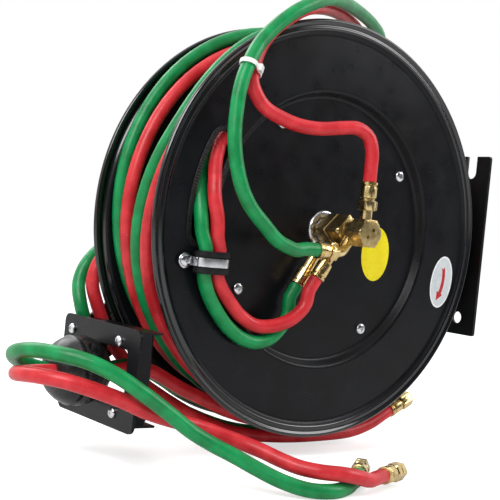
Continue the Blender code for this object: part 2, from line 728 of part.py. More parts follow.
def build_winding():
    outer_y = (ANNULUS_Y + SHEET + GAP, WIDTH - ANNULUS_Y - SHEET - GAP)
    floor_y = (FLOOR_Y + SHEET + 0.6, WIDTH - FLOOR_Y - SHEET - 0.6)
    bore, shoulder = FLOOR_R + GAP, STEP_R + 3.5
    profile = [(floor_y[0], bore), (floor_y[0], shoulder), (outer_y[0], shoulder), (outer_y[0], CORE_R)]
    profile += [(outer_y[1], CORE_R), (outer_y[1], shoulder), (floor_y[1], shoulder), (floor_y[1], bore)]
    core = lathe("wound_core", [(y, r, "round") for y, r in profile], RUBBER, count=36, ring=True)
    pocket = sector(POCKET_TURNS[0], POCKET_TURNS[1], FLOOR_R - 9.5, SLOT_OUT + 19.5, 12)
    boolean(core, prism("cut_core_pocket", pocket, -5.0, POCKET_Y, "Y", RUBBER))
    band = sector(BAND_TURNS[0], BAND_TURNS[1], CORE_R - 8.5, BAND_R, 14)
    raised = prism("add_core_band", band, outer_y[0], BAND_Y, "Y", RUBBER)
    boolean(core, raised, "UNION")
    for colour, material in (("red", RED), ("green", GREEN)):
        points = wound_points(colour)
        tube("wound_" + colour, points, HOSE_R, material, 1)
        print("wound_%s least gap to itself %.3f mm" % (colour, least_self_gap(points, HOSE_D)))
        print("wound_%s length %.0f mm" % (colour, route_length(points)))


# ---------------------------------------------------------------- guide
def build_guide():
    plate = prism("guide_plate", rounded_box((GUIDE_Y[0], GUIDE_Z[0]), (GUIDE_Y[1], GUIDE_Z[1]), 8.0),
                  GUIDE_X, GUIDE_X + GUIDE_T, "X", BLACK)
    window = rounded_box((WINDOW_Y[0], WINDOW_Z[0]), (WINDOW_Y[1], WINDOW_Z[1]), 5.0)
    boolean(plate, prism("cut_window", window, GUIDE_X - 5.0, GUIDE_X + 8.0, "X", BLACK))
    back_x = GUIDE_X + GUIDE_T + GAP
    box_x = (back_x, -195.5)
    face = rounded_box((-10.0, -204.0), (131.0, -114.0), 4.0)
    bracket = prism("roller_bracket", face, back_x, back_x + 2.0, "X", BLACK)
    boolean(bracket, prism("cut_bracket_window", window, GUIDE_X - 5.0, GUIDE_X + 8.0, "X", BLACK))
    for y in SCREW_Y:
        for z in SCREW_Z:
            boolean(plate, prism("cut_screw", circle(y, z, 2.7, 12), GUIDE_X - 5.0, GUIDE_X + 8.0, "X", BLACK))
            boolean(bracket, prism("cut_screw", circle(y, z, 2.7, 12), GUIDE_X - 5.0, GUIDE_X + 8.0, "X", BLACK))
    inside = back_x + 1.0
    for z0, z1 in ((-116.0, -114.0), (-204.0, -202.0)):
        shelf = prism("add_shelf", rounded_box((inside, -1.0), (box_x[1], 118.0), 0.5, 2), z0, z1, "Z", BLACK)
        boolean(bracket, shelf, "UNION")
    for y0, y1, depth in ((-1.0, 1.0, -208.0), (116.0, 118.0, box_x[1])):
        ear = prism("add_ear", rounded_box((inside, -203.5), (depth, -114.5), 0.5, 2), y0, y1, "Y", BLACK)
        boolean(bracket, ear, "UNION")
    for y in (15.5, 101.5):
        boolean(bracket, prism("add_pin", circle(-203.0, y, 2.0, 12), -203.0, -115.0, "Z", BLACK), "UNION")
    for z in (-127.5, -190.5):
        boolean(bracket, prism("add_pin", circle(-215.5, z, 2.0, 12), 0.0, 117.0, "Y", BLACK), "UNION")
    for name, y in (("roller_near", 15.5), ("roller_far", 101.5)):
        rings = [(0.4, 2.3, "round"), (0.4, 5.0, "round"), (1.4, 6.0, "round"), (84.2, 6.0, "round")]
        rings += [(85.2, 5.0, "round"), (85.2, 2.3, "round")]
        lathe(name, rings, RUBBER, (-203.0, y, -201.8), (0, 0, 1), count=12, ring=True)
    for name, z in (("roller_top", -127.5), ("roller_bottom", -190.5)):
        rings = [(0.4, 2.3, "round"), (0.4, 4.6, "round"), (1.4, 5.5, "round"), (113.2, 5.5, "round")]
        rings += [(114.2, 4.6, "round"), (114.2, 2.3, "round")]
        lathe(name, rings, RUBBER, (-215.5, 1.2, z), (0, 1, 0), count=12, ring=True)
    number = 0
    for z in SCREW_Z:
        for y in SCREW_Y:
            number += 1
            rings = [(-3.6, 3.2, "round"), (-2.6, 5.2, "round"), (-GAP, 5.2, "round"), (-GAP, 2.4, "round")]
            rings += [(6.2, 2.4, "round")]
            lathe("guide_screw_%d" % number, rings, ZINC, (GUIDE_X, y, z), (1, 0, 0), count=12)


def build_guide_arm():
    outline = hull(circle(0, 0, 30.0, 40) + [(-224.4, -130.0), (-224.4, -192.0)])
    arm = prism("guide_arm", outline, 134.5, 138.5, "Y", BLACK)
    foot_x = GUIDE_X + GUIDE_T + GAP + 2.0 + GAP
    foot = prism("add_guide_foot", rounded_box((121.5, -200.0), (138.5, -122.0), 1.5, 3),
                 foot_x, foot_x + 4.0, "X", BLACK)
    boolean(arm, foot, "UNION")
    boolean(arm, prism("cut_guide_bore", circle(0, 0, SHAFT_R + GAP, 32), 125.0, 145.0, "Y", BLACK))


def build_hose_stop():
    profile = []
    face = -28.0
    groove = -6.0
    for angle in (-145.4, -133, -121, -109):
        a = math.radians(angle)
        profile.append((STOP_R * math.cos(a), -STOP_R * math.sin(a)))
    profile += [(groove - 2.5, 33.5), (groove, 30.5), (groove + 2.5, 33.8)]
    for angle in (85, 72, 59, 46, 33):
        a = math.radians(angle)
        profile.append((STOP_R * math.cos(a), STOP_R * math.sin(a)))
    profile[0] = (face, 19.0)
    for name, side in (("hose_stop_half_a", 1.0), ("hose_stop_half_b", -1.0)):
        rings = [(x, r, "round") for x, r in profile]
        half = lathe(name, rings, RUBBER, (STOP_X, STOP_Y, STOP_Z), (1, 0, 0), count=20, sharp=40.0)
        z0 = STOP_Z + (0.2 if side > 0.0 else -60.0)
        keep = prism("cut_half", rounded_box((STOP_X - 50.0, 0.0), (STOP_X + 50.0, 122.0), 1.0, 2),
                     z0, z0 + 59.8, "Z", RUBBER)
        boolean(half, keep, "INTERSECT")
        for y in PAIR_Y:
            bore = prism("cut_stop_bore", circle(y, STOP_Z, HOSE_R + 0.6, 12, 15.0), -300.0, -200.0, "X", RUBBER)
            boolean(half, bore)
        for y in (STOP_Y - 22.5, STOP_Y + 22.5):
            hole = prism("cut_stop_screw", circle(STOP_X + 4.0, y, 2.4, 12), -200.0, -120.0, "Z", RUBBER)
            boolean(half, hole)
            if side > 0.0:
                seat = prism("cut_stop_seat", circle(STOP_X + 4.0, y, 5.0, 16), STOP_Z + 16.0, -120.0, "Z", RUBBER)
                boolean(half, seat)
    for number, y in enumerate((STOP_Y - 22.5, STOP_Y + 22.5), 1):
        rings = [(-15.0, 2.0, "round"), (16.3, 2.0, "round"), (16.3, 4.2, "round"), (19.3, 4.2, "round")]
        lathe("hose_stop_screw_%d" % number, rings, ZINC, (STOP_X + 4.0, y, STOP_Z), (0, 0, 1), count=12)


# ---------------------------------------------------------------- free hoses
GREEN_TIP = Vector((-18.0, -98.0, -234.0))
GREEN_TIP_DIR = Vector((0.73, 0.68, 0.0)).normalized()
RED_TIP = Vector((-16.0, -130.0, -228.5))
RED_TIP_DIR = Vector((0.93, 0.36, 0.0)).normalized()
GREEN_LEAD_TIP = Vector((165.0, 70.0, -197.0))
RED_LEAD_TIP = Vector((167.0, 55.0, -205.0))
LEAD_DIR = Vector((0.90, 0.06, 0.42)).normalized()
TIE_AT = Vector((-146.0, -29.0, 144.0))
LEAVE_TURN = 291.0
# From the drum to the stop: (x, z) of both delivery hoses
GUIDE_RUN = ((-142.0, -172.0), (-158.0, -164.0), (-172.0, -158.0), (-186.0, -155.0), (-199.0, -156.0), (-210.0, -158.0))


def delivery_route(colour):
    y = PAIR_Y[0] if colour == "red" else PAIR_Y[1]
    tangent = along_drum(RUN_OFF)
    start = on_drum(RUN_OFF, LAYER_TOP, y) + tangent * (GAP / 2.0)
    route = [start, start + tangent * HOSE_D]
    for turn in (270.0, 277.0, 284.0, LEAVE_TURN):
        route.append(on_drum(turn, LAYER_TOP, y))
    leave = on_drum(LEAVE_TURN, LAYER_TOP, y)
    route += [leave + along_drum(LEAVE_TURN) * 28.0, leave + along_drum(LEAVE_TURN) * 52.0]
    route += [(x, y, z) for x, z in GUIDE_RUN]
    route += [(x, y, STOP_Z) for x in (-220.5, -231.0, -243.0, -256.0, -269.0, -281.0)]
    return route


GREEN_FREE = [(-301, 65, -154), (-318, 54, -147), (-329, 37, -140), (-332.5, 16, -134.5), (-329, -6, -131),
              (-318, -28, -131), (-301, -46, -134), (-280, -60, -143), (-254, -69.5, -159),
              (-228, -73, -176), (-204, -75, -192), (-184, -81, -203), (-168, -91, -211),
              (-152, -105, -220), (-134, -122, -229), (-114, -136, -234.5), (-92, -142, -235.7),
              (-70, -137, -235.5), (-48, -123, -234.5)]
RED_FREE = [(-302, 49.5, -159), (-320, 38.5, -158), (-332.5, 20, -155.5), (-336, -2, -152.5),
            (-330, -23, -151), (-315, -41, -152.5), (-294, -52, -158), (-268, -56.5, -166.5),
            (-240, -57, -177.5), (-212, -57, -185.5), (-188, -58, -191), (-165, -65, -198),
            (-147, -76, -204), (-134, -90, -209), (-124, -105, -214), (-113, -120, -218),
            (-99, -135, -219.5), (-81, -143.5, -220.5), (-62, -145, -224)]
GREEN_LEAD = [(-77, -41.5, -23.5), (-91, -44, -21), (-106, -46, -16), (-125, -47, -2), (-142, -46, 13),
              (-153, -45, 29), (-160.5, -43, 50), (-164, -40, 74), (-163, -37, 99), (-160, -35.5, 124),
              (-152, -33, 146), (-137, -28, 170), (-116, -25.5, 192), (-94, -25, 210), (-70, -20.5, 223),
              (-33, -3, 237), (8, 21, 243), (49, 44, 244), (89, 66, 241), (123, 88, 233),
              (150, 118, 208), (155, 148, 168), (114, 170, 112), (40, 173, 58), (-60, 166, 16),
              (-134, 155, -12), (-180, 148, -36), (-206, 144, -60), (-215, 140, -80),
              (-216, 130, -101), (-210, 126.6, -121), (-202, 126.2, -145), (-186, 126, -162),
              (-161, 116, -175), (-128, 102, -194), (-92, 89, -211), (-50, 80, -224), (0, 74, -229.5),
              (60, 70, -228.5), (106, 69, -220)]
RED_LEAD = [(-0.5, -51.5, 84), (-6, -50, 97.5), (-20, -48, 104), (-39, -45, 102), (-62, -41, 98),
            (-86, -37, 98), (-108, -33, 103), (-125, -30, 110), (-135, -28.5, 120), (-140.5, -26, 133),
            (-137.5, -23, 148), (-127, -15, 167), (-112, -11.5, 187), (-91, -9.8, 205), (-66, -4, 219.5),
            (-32, 14, 229.5), (8, 37, 236), (46, 59, 237), (83, 82, 233), (114, 105, 222),
            (136, 126, 198), (137, 145, 168), (104, 156, 119), (40, 157, 58), (-56, 151, 10),
            (-128, 138, -16), (-174, 129, -33), (-200, 126, -54), (-207, 125.8, -77), (-200, 125.7, -99),
            (-191, 125.8, -117), (-187, 122.5, -133), (-176, 110, -149), (-162, 98.5, -171),
            (-134, 86, -191), (-90, 71, -214), (-50, 63, -226), (0, 57, -230.5), (60, 54, -230.5),
            (108, 53, -227)]


def straight_into(tip, direction):
    return [tip - direction * (2.2 * HOSE_D), tip - direction * HOSE_D, tip]


def build_free_hoses():
    routes = {}
    green_start = GREEN_INLET + Vector((-23.0 - GAP, 0.0, 0.0))
    red_start = RED_INLET + Vector((0.0, 0.0, 38.0 + GAP))
    green_lead = [green_start, green_start + Vector((-HOSE_D, 0.0, 0.0))] + GREEN_LEAD
    red_lead = [red_start, red_start + Vector((0.0, 0.0, HOSE_D))] + RED_LEAD
    hoses = {
        "lead_in_green": (green_lead + straight_into(GREEN_LEAD_TIP, LEAD_DIR), GREEN),
        "lead_in_red": (red_lead + straight_into(RED_LEAD_TIP, LEAD_DIR), RED),
        "delivery_green": (delivery_route("green") + GREEN_FREE + straight_into(GREEN_TIP, GREEN_TIP_DIR), GREEN),
        "delivery_red": (delivery_route("red") + RED_FREE + straight_into(RED_TIP, RED_TIP_DIR), RED),
    }
    for name, (route, material) in hoses.items():
        spacing = 35.0 if name.startswith("lead") else 28.0
        points = smooth_route(route, spacing)
        tube(name, points, HOSE_R, material, 2)
        routes[name] = points
        print("%s length %.0f mm, %d points" % (name, route_length(points), len(points)))
    return routes


def build_hose_ends():
    ends = (("green", GREEN_TIP, GREEN_TIP_DIR), ("red", RED_TIP, RED_TIP_DIR))
    for colour, tip, direction in ends:
        rings = [(GAP, 7.6, "round"), (1.5, 8.3, "round"), (17.0, 8.3, "round"), (17.0, 4.5, "round")]
        rings += [(21.5, 4.5, "round"), (21.5, 6.0, "round"), (23.5, 6.0, "round"), (23.5, 4.0, "round")]
        rings += [(34.0, 4.0, "round")]
        lathe("delivery_ferrule_" + colour, rings, BRASS, tip, direction, count=12)
        nut = [(18.5, 4.8, "round"), (18.5, 8.2, 6), (36.0, 8.2, 6), (37.0, 7.4, "round")]
        nut += [(37.0, 6.4, "round"), (21.2, 6.4, "round"), (21.2, 4.8, "round")]
        lathe("delivery_nut_" + colour, nut, BRASS, tip, direction, count=12, ring=True)
    for colour, tip in (("green", GREEN_LEAD_TIP), ("red", RED_LEAD_TIP)):
        rings = [(GAP, 7.6, "round"), (1.5, 8.3, "round"), (18.0, 8.3, "round"), (18.0, 6.0, "round")]
        rings += [(20.0, 6.0, "round"), (20.0, 8.2, 6), (36.0, 8.2, 6), (37.0, 7.4, "round")]
        lathe("lead_end_" + colour, rings, BRASS, tip, LEAD_DIR, count=12)


def nearest_on(points, place):
    best = None
    for a, b in zip(points, points[1:]):
        line = b - a
        t = min(max((place - a).dot(line) / line.dot(line), 0.0), 1.0)
        near = a + line * t
        if best is None or (near - place).length < best[0]:
            best = ((near - place).length, near, line.normalized())
    return best[1], best[2]


def build_zip_tie(routes):
    green, green_way = nearest_on(routes["lead_in_green"], TIE_AT)
    red, red_way = nearest_on(routes["lead_in_red"], green)
    along = (green_way + red_way).normalized()
    across = (red - green) - along * (red - green).dot(along)
    spread = across.length
    across.normalize()
    out = along.cross(across)
    centre = (green + red) / 2.0
    half = spread / 2.0
    inner = racetrack((-half, 0.0), (half, 0.0), HOSE_R + 0.8, 6)
    outer = racetrack((-half, 0.0), (half, 0.0), HOSE_R + 2.3, 6)
    bm = bmesh.new()
    loops = []
    for outline, shift in ((outer, -2.4), (outer, 2.4), (inner, 2.4), (inner, -2.4)):
        loops.append([bm.verts.new(centre + across * a + out * b + along * shift) for a, b in outline])
    for a, b in zip(loops, loops[1:] + loops[:1]):
        for i in range(len(a)):
            j = (i + 1) % len(a)
            bm.faces.new((a[i], a[j], b[j], b[i]))
    add_mesh("zip_tie", bm, WHITE)


build_wall_plate()
build_pedestal()
build_shaft()
build_flanges()
build_slot_trim()
build_drum_inside()
build_spring()
build_ratchet()
build_swivel()
build_outlets()
build_inlets()
build_clip()
build_loops()
build_winding()
build_guide()
build_guide_arm()
build_hose_stop()
free_routes = build_free_hoses()
build_hose_ends()
build_zip_tie(free_routes)
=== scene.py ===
import math

import bmesh
import bpy
from mathutils import Matrix, Vector


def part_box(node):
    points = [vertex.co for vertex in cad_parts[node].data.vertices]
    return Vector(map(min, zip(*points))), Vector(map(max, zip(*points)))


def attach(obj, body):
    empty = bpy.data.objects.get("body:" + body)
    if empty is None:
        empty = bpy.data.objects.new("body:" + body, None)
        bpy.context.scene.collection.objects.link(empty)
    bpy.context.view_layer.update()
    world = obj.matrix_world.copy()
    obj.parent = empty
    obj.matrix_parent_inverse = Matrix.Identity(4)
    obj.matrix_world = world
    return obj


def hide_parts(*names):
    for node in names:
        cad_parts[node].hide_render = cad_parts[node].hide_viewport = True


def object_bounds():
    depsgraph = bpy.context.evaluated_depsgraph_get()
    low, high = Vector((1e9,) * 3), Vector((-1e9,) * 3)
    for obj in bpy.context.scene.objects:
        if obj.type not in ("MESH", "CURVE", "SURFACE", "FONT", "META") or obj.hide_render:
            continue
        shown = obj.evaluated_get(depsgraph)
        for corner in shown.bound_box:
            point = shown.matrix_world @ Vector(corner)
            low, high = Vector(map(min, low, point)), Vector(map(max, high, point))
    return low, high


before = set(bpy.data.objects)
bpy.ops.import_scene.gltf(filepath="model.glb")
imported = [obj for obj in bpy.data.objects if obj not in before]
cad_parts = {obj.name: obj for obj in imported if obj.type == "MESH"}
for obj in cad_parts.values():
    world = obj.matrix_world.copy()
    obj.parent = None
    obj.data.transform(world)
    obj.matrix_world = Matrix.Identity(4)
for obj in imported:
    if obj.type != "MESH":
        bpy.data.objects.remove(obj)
cad_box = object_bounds()

# ---------------------------------------------------------------- camera
# The reel is seen from its front left at the height of its axle, through a short telephoto lens
# held with a slight roll.  Every part below is laid out in millimetres from the middle of the
# front rim: +X to the wall, +Y back along the axle, +Z up, and spot() says where that is.
mm = 0.001
rim_to_barrel = 15.3
barrel_low, barrel_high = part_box("core_barrel")
axle = (barrel_low + barrel_high) / 2
reel = Vector((axle.x, barrel_low.y - rim_to_barrel * mm, axle.z))


def spot(x, y, z):
    return reel + Vector((x, y, z)) * mm


def put_in(name, data):
    """New object of the scene."""
    item = bpy.data.objects.new(name, data)
    bpy.context.scene.collection.objects.link(item)
    return item


lens_length, film_width = 77.9, 36.0
nearest_seen = 0.05
camera_place = spot(-751.5, -861.1, -12.0)
turned_right, tipped_down, rolled = math.radians(36.97), math.radians(0.86), math.radians(5.73)
camera = put_in("camera", bpy.data.cameras.new("camera"))
bpy.context.scene.camera = camera
camera.data.lens = lens_length
camera.data.sensor_width = film_width
camera.data.clip_start = nearest_seen
aim = Matrix.Rotation(-turned_right, 4, "Z") @ Matrix.Rotation(math.pi / 2 - tipped_down, 4, "X")
camera.matrix_world = Matrix.Translation(camera_place) @ aim @ Matrix.Rotation(rolled, 4, "Z")

# ---------------------------------------------------------------- floor and light
# A pale seamless floor under the lowest hose and a white room.  Soft boxes stand high on the left,
# on the right and at the back, and the room is dark behind the camera, which draws the brass and paint.
bpy.context.scene.view_settings.view_transform = "Standard"


def fill(tree, socket, value):
    """Sets a node's socket to a value, or wires another node's output to it."""
    if isinstance(value, bpy.types.NodeSocket):
        tree.links.new(value, socket)
    else:
        socket.default_value = value


def add_node(tree, kind, **sockets):
    """Shader node with its sockets filled; _ in a socket's name stands for a space."""
    node = tree.nodes.new("ShaderNode" + kind)
    for name, value in sockets.items():
        fill(tree, node.inputs[name.replace("_", " ")], value)
    return node


def by_ray(tree, is_kind, others, kind):
    """Shader that differs for one kind of light ray."""
    mix = add_node(tree, "MixShader", Fac=is_kind)
    fill(tree, mix.inputs[1], others)
    fill(tree, mix.inputs[2], kind)
    return mix.outputs["Shader"]


floor_grey, floor_glow = 0.80, 0.60


def light_floor():
    material = bpy.data.materials.new("studio_floor")
    material.use_nodes = True
    tree = material.node_tree
    tree.nodes.clear()
    lit = add_node(tree, "BsdfDiffuse", Color=(floor_grey, floor_grey, floor_grey, 1.0))
    path = add_node(tree, "LightPath")
    share = add_node(tree, "Math")
    share.operation = "MULTIPLY"
    fill(tree, share.inputs[0], path.outputs["Is Camera Ray"])
    fill(tree, share.inputs[1], floor_glow)
    glow = add_node(tree, "Emission", Strength=share.outputs["Value"])
    both = add_node(tree, "AddShader")
    fill(tree, both.inputs[0], lit.outputs["BSDF"])
    fill(tree, both.inputs[1], glow.outputs["Emission"])
    add_node(tree, "OutputMaterial", Surface=both.outputs["Shader"])
    return material


floor_half = 12.0
floor_gap = 0.3
floor_z = cad_box[0].z - floor_gap * mm
floor_mesh = bpy.data.meshes.new("floor")
corners = [(floor_half * x, floor_half * y, floor_z) for x, y in ((-1, -1), (1, -1), (1, 1), (-1, 1))]
floor_mesh.from_pydata(corners, [], [(0, 1, 2, 3)])
floor = put_in("floor", floor_mesh)
floor_mesh.materials.append(light_floor())


dark_side = (0.05, -1.0, -0.10)
dark_from, dark_to, darkest = 0.10, 0.70, 0.06
room_fill = 0.62
white = (1.0, 1.0, 1.0, 1.0)


def light_room():
    world = bpy.data.worlds.new("studio")
    bpy.context.scene.world = world
    world.use_nodes = True
    tree = world.node_tree
    tree.nodes.clear()
    direction = add_node(tree, "TexCoord")
    facing = add_node(tree, "VectorMath")
    facing.operation = "DOT_PRODUCT"
    fill(tree, facing.inputs[0], direction.outputs["Generated"])
    fill(tree, facing.inputs[1], dark_side)
    shade = add_node(tree, "MapRange", Value=facing.outputs["Value"], From_Min=dark_from, From_Max=dark_to,
                     To_Min=1.0, To_Max=darkest)
    seen = add_node(tree, "Background", Color=white, Strength=1.0).outputs["Background"]
    shaded = shade.outputs["Result"]
    mirrored = add_node(tree, "Background", Color=white, Strength=shaded).outputs["Background"]
    falling = add_node(tree, "Background", Color=white, Strength=room_fill).outputs["Background"]
    path = add_node(tree, "LightPath")
    light = by_ray(tree, path.outputs["Is Glossy Ray"], falling, mirrored)
    light = by_ray(tree, path.outputs["Is Transmission Ray"], light, seen)
    light = by_ray(tree, path.outputs["Is Camera Ray"], light, seen)
    add_node(tree, "OutputWorld", Surface=light)


light_room()
soft_boxes = {
    "key_light": ((-1.75, -0.95, 1.35), 1.1, 26.0),
    "side_light": ((1.35, -1.25, 1.15), 1.0, 15.0),
    "rim_light": ((-0.70, 1.30, 1.25), 1.2, 14.0),
}
for name, (place, size, power) in soft_boxes.items():
    lamp = bpy.data.lights.new(name, "AREA")
    lamp.shape = "SQUARE"
    lamp.size = size
    lamp.energy = power
    stand = put_in(name, lamp)
    stand.location = place
    stand.rotation_euler = (axle - Vector(place)).to_track_quat("-Z", "Y").to_euler()

# ---------------------------------------------------------------- lead-in hoses
# Two rubber welding hoses, green for oxygen and red for fuel gas, 14 mm over the cover.  They are
# crimped on the swivel's inlets, arch over the rim, go down behind the reel and come out under it.
hose_width = 14.0


def noise_of(tree, scale, detail, low, high):
    """Noise in the part's own space, in metres, stretched so that low to high fill 0 to 1."""
    place = add_node(tree, "TexCoord")
    noise = add_node(tree, "TexNoise", Vector=place.outputs["Object"], Scale=scale, Detail=detail)
    spread = add_node(tree, "MapRange", Value=noise.outputs["Fac"], From_Min=low, From_Max=high)
    return spread.outputs["Result"]


def blend_of(tree, share, first, second):
    """Colour that goes from first to second; either may be a colour or another node's output."""
    mix = add_node(tree, "Mix")
    mix.data_type = "RGBA"
    for socket, value in ((0, share), (6, first), (7, second)):
        fill(tree, mix.inputs[socket], (*value, 1.0) if isinstance(value, tuple) else value)
    return mix.outputs[2]


def surface(name, dark, light, patch, gloss, grit, relief, metallic=0.0, specular=0.5, specks=None):
    """Finish with patchy colour and gloss and a fine relief; patch and grit are per metre."""
    material = bpy.data.materials.new(name)
    material.use_nodes = True
    tree = material.node_tree
    colour = blend_of(tree, noise_of(tree, patch, 3.0, 0.35, 0.65), dark, light)
    if specks:
        speck_colour, speck_scale = specks
        colour = blend_of(tree, noise_of(tree, speck_scale, 1.0, 0.73, 0.77), colour, speck_colour)
    patches = noise_of(tree, patch * 2.3, 4.0, 0.3, 0.7)
    rough = add_node(tree, "MapRange", Value=patches, To_Min=gloss[0], To_Max=gloss[1])
    grain = noise_of(tree, grit, 4.0, 0.2, 0.8)
    bump = add_node(tree, "Bump", Strength=0.35, Distance=relief * mm, Height=grain)
    finish = {"Base Color": colour, "Roughness": rough.outputs["Result"], "Normal": bump.outputs["Normal"],
              "Metallic": metallic, "Specular IOR Level": specular}
    for socket, value in finish.items():
        fill(tree, tree.nodes["Principled BSDF"].inputs[socket], value)
    return material


green_cover = surface("green_hose_cover", (0.000, 0.190, 0.046), (0.000, 0.300, 0.080), 55.0,
                      (0.28, 0.40), 1400.0, 0.10, specular=0.42, specks=((0.06, 0.42, 0.20), 900.0))
red_cover = surface("red_hose_cover", (0.540, 0.014, 0.022), (0.720, 0.034, 0.044), 55.0,
                    (0.28, 0.40), 1400.0, 0.10, specular=0.42, specks=((0.85, 0.18, 0.18), 900.0))
covers = {"green": green_cover, "red": red_cover}
line_step = 5.0
end_straight = 2.2


def smooth_line(points, spacing, per_piece=24):
    """Evenly spaced points on a smooth curve through the given ones, with straight end pieces."""
    pts = [Vector(p) for p in points]
    dense = []
    for p0, p1, p2, p3 in zip(pts, pts[1:], pts[2:], pts[3:]):
        t1 = math.sqrt((p1 - p0).length)
        t2 = t1 + math.sqrt((p2 - p1).length)
        t3 = t2 + math.sqrt((p3 - p2).length)
        for k in range(per_piece):
            t = t1 + (t2 - t1) * k / per_piece
            a1 = p0.lerp(p1, t / t1)
            a2 = p1.lerp(p2, (t - t1) / (t2 - t1))
            a3 = p2.lerp(p3, (t - t2) / (t3 - t2))
            b1 = a1.lerp(a2, t / t2)
            b2 = a2.lerp(a3, (t - t1) / (t3 - t1))
            dense.append(b1.lerp(b2, (t - t1) / (t2 - t1)))
    dense.append(pts[-2])
    walked = [0.0]
    for a, b in zip(dense, dense[1:]):
        walked.append(walked[-1] + (b - a).length)
    count = max(2, round(walked[-1] / spacing))
    line, index = [pts[0], pts[1]], 0
    for i in range(1, count):
        target = walked[-1] * i / count
        while walked[index + 1] < target:
            index += 1
        share = (target - walked[index]) / (walked[index + 1] - walked[index])
        line.append(dense[index].lerp(dense[index + 1], share))
    return line + [pts[-2], pts[-1]]


def as_shown(piece):
    return bpy.data.meshes.new_from_object(piece.evaluated_get(bpy.context.evaluated_depsgraph_get()))


def round_bar(name, line, width, material, body, replaced=(), closed=False):
    """Round hose or bar that follows a line of points, riding on a body of the frame."""
    curve = bpy.data.curves.new(name, "CURVE")
    curve.dimensions = "3D"
    curve.bevel_depth = width / 2.0 * mm
    curve.bevel_resolution = 6
    curve.use_fill_caps = True
    spline = curve.splines.new("POLY")
    spline.points.add(len(line) - 1)
    for point, place in zip(spline.points, line):
        point.co = (*spot(*place), 1.0)
    spline.use_smooth = True
    spline.use_cyclic_u = closed
    curve.materials.append(material)
    piece = put_in(name, curve)
    if closed:
        solid = as_shown(piece)
        bpy.data.objects.remove(piece)
        piece = put_in(name, solid)
    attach(piece, body)
    if replaced:
        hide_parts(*replaced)
    return piece


lead_end_way = Vector((0.90, 0.06, 0.42)).normalized()
lead_tips = {"green": Vector((165, 70, -197)), "red": Vector((167, 55, -205))}
lead_exits = {"green": Vector((-50.6, -40, -21.5)), "red": Vector((0, -52, 52.6))}
lead_ways = {"green": Vector((-1, 0, 0)), "red": Vector((0, 0, 1))}
lead_routes = {
    "green": [
        (-77, -41.5, -23.5), (-91, -44, -21), (-106, -46, -16), (-125, -47, -2), (-142, -46, 13),
        (-153, -45, 29), (-160.5, -43, 50), (-164, -40, 74), (-163, -37, 99), (-160, -35.5, 124),
        (-152, -33, 146), (-137, -28, 170), (-116, -25.5, 192), (-94, -25, 210), (-70, -20.5, 223),
        (-33, -3, 237), (8, 21, 243), (49, 44, 244), (89, 66, 241), (123, 88, 233), (150, 118, 208),
        (155, 148, 168), (114, 170, 112), (40, 173, 58), (-60, 166, 16), (-134, 155, -12),
        (-180, 148, -36), (-206, 144, -60), (-215, 140, -80), (-216, 130, -101),
        (-210, 126.6, -121), (-202, 126.2, -145), (-186, 126, -162), (-161, 116, -175),
        (-128, 102, -194), (-92, 89, -211), (-50, 80, -224), (0, 74, -229.5), (60, 70, -228.5),
        (106, 69, -220)],
    "red": [
        (-0.5, -51.5, 84), (-6, -50, 97.5), (-20, -48, 104), (-39, -45, 102), (-62, -41, 98),
        (-86, -37, 98), (-108, -33, 103), (-125, -30, 110), (-135, -28.5, 120), (-140.5, -26, 133),
        (-137.5, -23, 148), (-127, -15, 167), (-112, -11.5, 187), (-91, -9.8, 205),
        (-66, -4, 219.5), (-32, 14, 229.5), (8, 37, 236), (46, 59, 237), (83, 82, 233),
        (114, 105, 222), (136, 126, 198), (137, 145, 168), (104, 156, 119), (40, 157, 58),
        (-56, 151, 10), (-128, 138, -16), (-174, 129, -33), (-200, 126, -54), (-207, 125.8, -77),
        (-200, 125.7, -99), (-191, 125.8, -117), (-187, 122.5, -133), (-176, 110, -149),
        (-162, 98.5, -171), (-134, 86, -191), (-90, 71, -214), (-50, 63, -226), (0, 57, -230.5),
        (60, 54, -230.5), (108, 53, -227)],
}
lead_lines = {}
for colour, cover in covers.items():
    exit_place, tip = lead_exits[colour], lead_tips[colour]
    route = [exit_place, exit_place + lead_ways[colour] * hose_width] + lead_routes[colour]
    route += [tip - lead_end_way * (end_straight * hose_width), tip - lead_end_way * hose_width, tip]
    lead_lines[colour] = smooth_line(route, line_step)
    name = "lead_in_" + colour
    round_bar(name + "_hose", lead_lines[colour], hose_width, cover, "frame",
                                   [name])

# ---------------------------------------------------------------- delivery hoses
# The working end of the twin hose: both hoses run off the drum, through the roller guide and the
# ball-shaped stop, curl round in front of it and lie along the foot of the reel with their nuts.
run_off, run_off_gap = 262.0, 0.15
top_layer = 212.6
pair_y = {"red": 53.5, "green": 68.5}
stop_z = -159.0
leave_turn = 291.0
guide_run = ((-142, -172), (-158, -164), (-172, -158), (-186, -155), (-199, -156), (-210, -158))


def on_drum(turn, radius, y):
    """Place on a winding, at an angle that grows from the left of the drum over its top."""
    angle = math.radians(180.0 - turn)
    return Vector((radius * math.cos(angle), y, radius * math.sin(angle)))


def along_drum(turn):
    angle = math.radians(180.0 - turn)
    return Vector((math.sin(angle), 0.0, -math.cos(angle)))


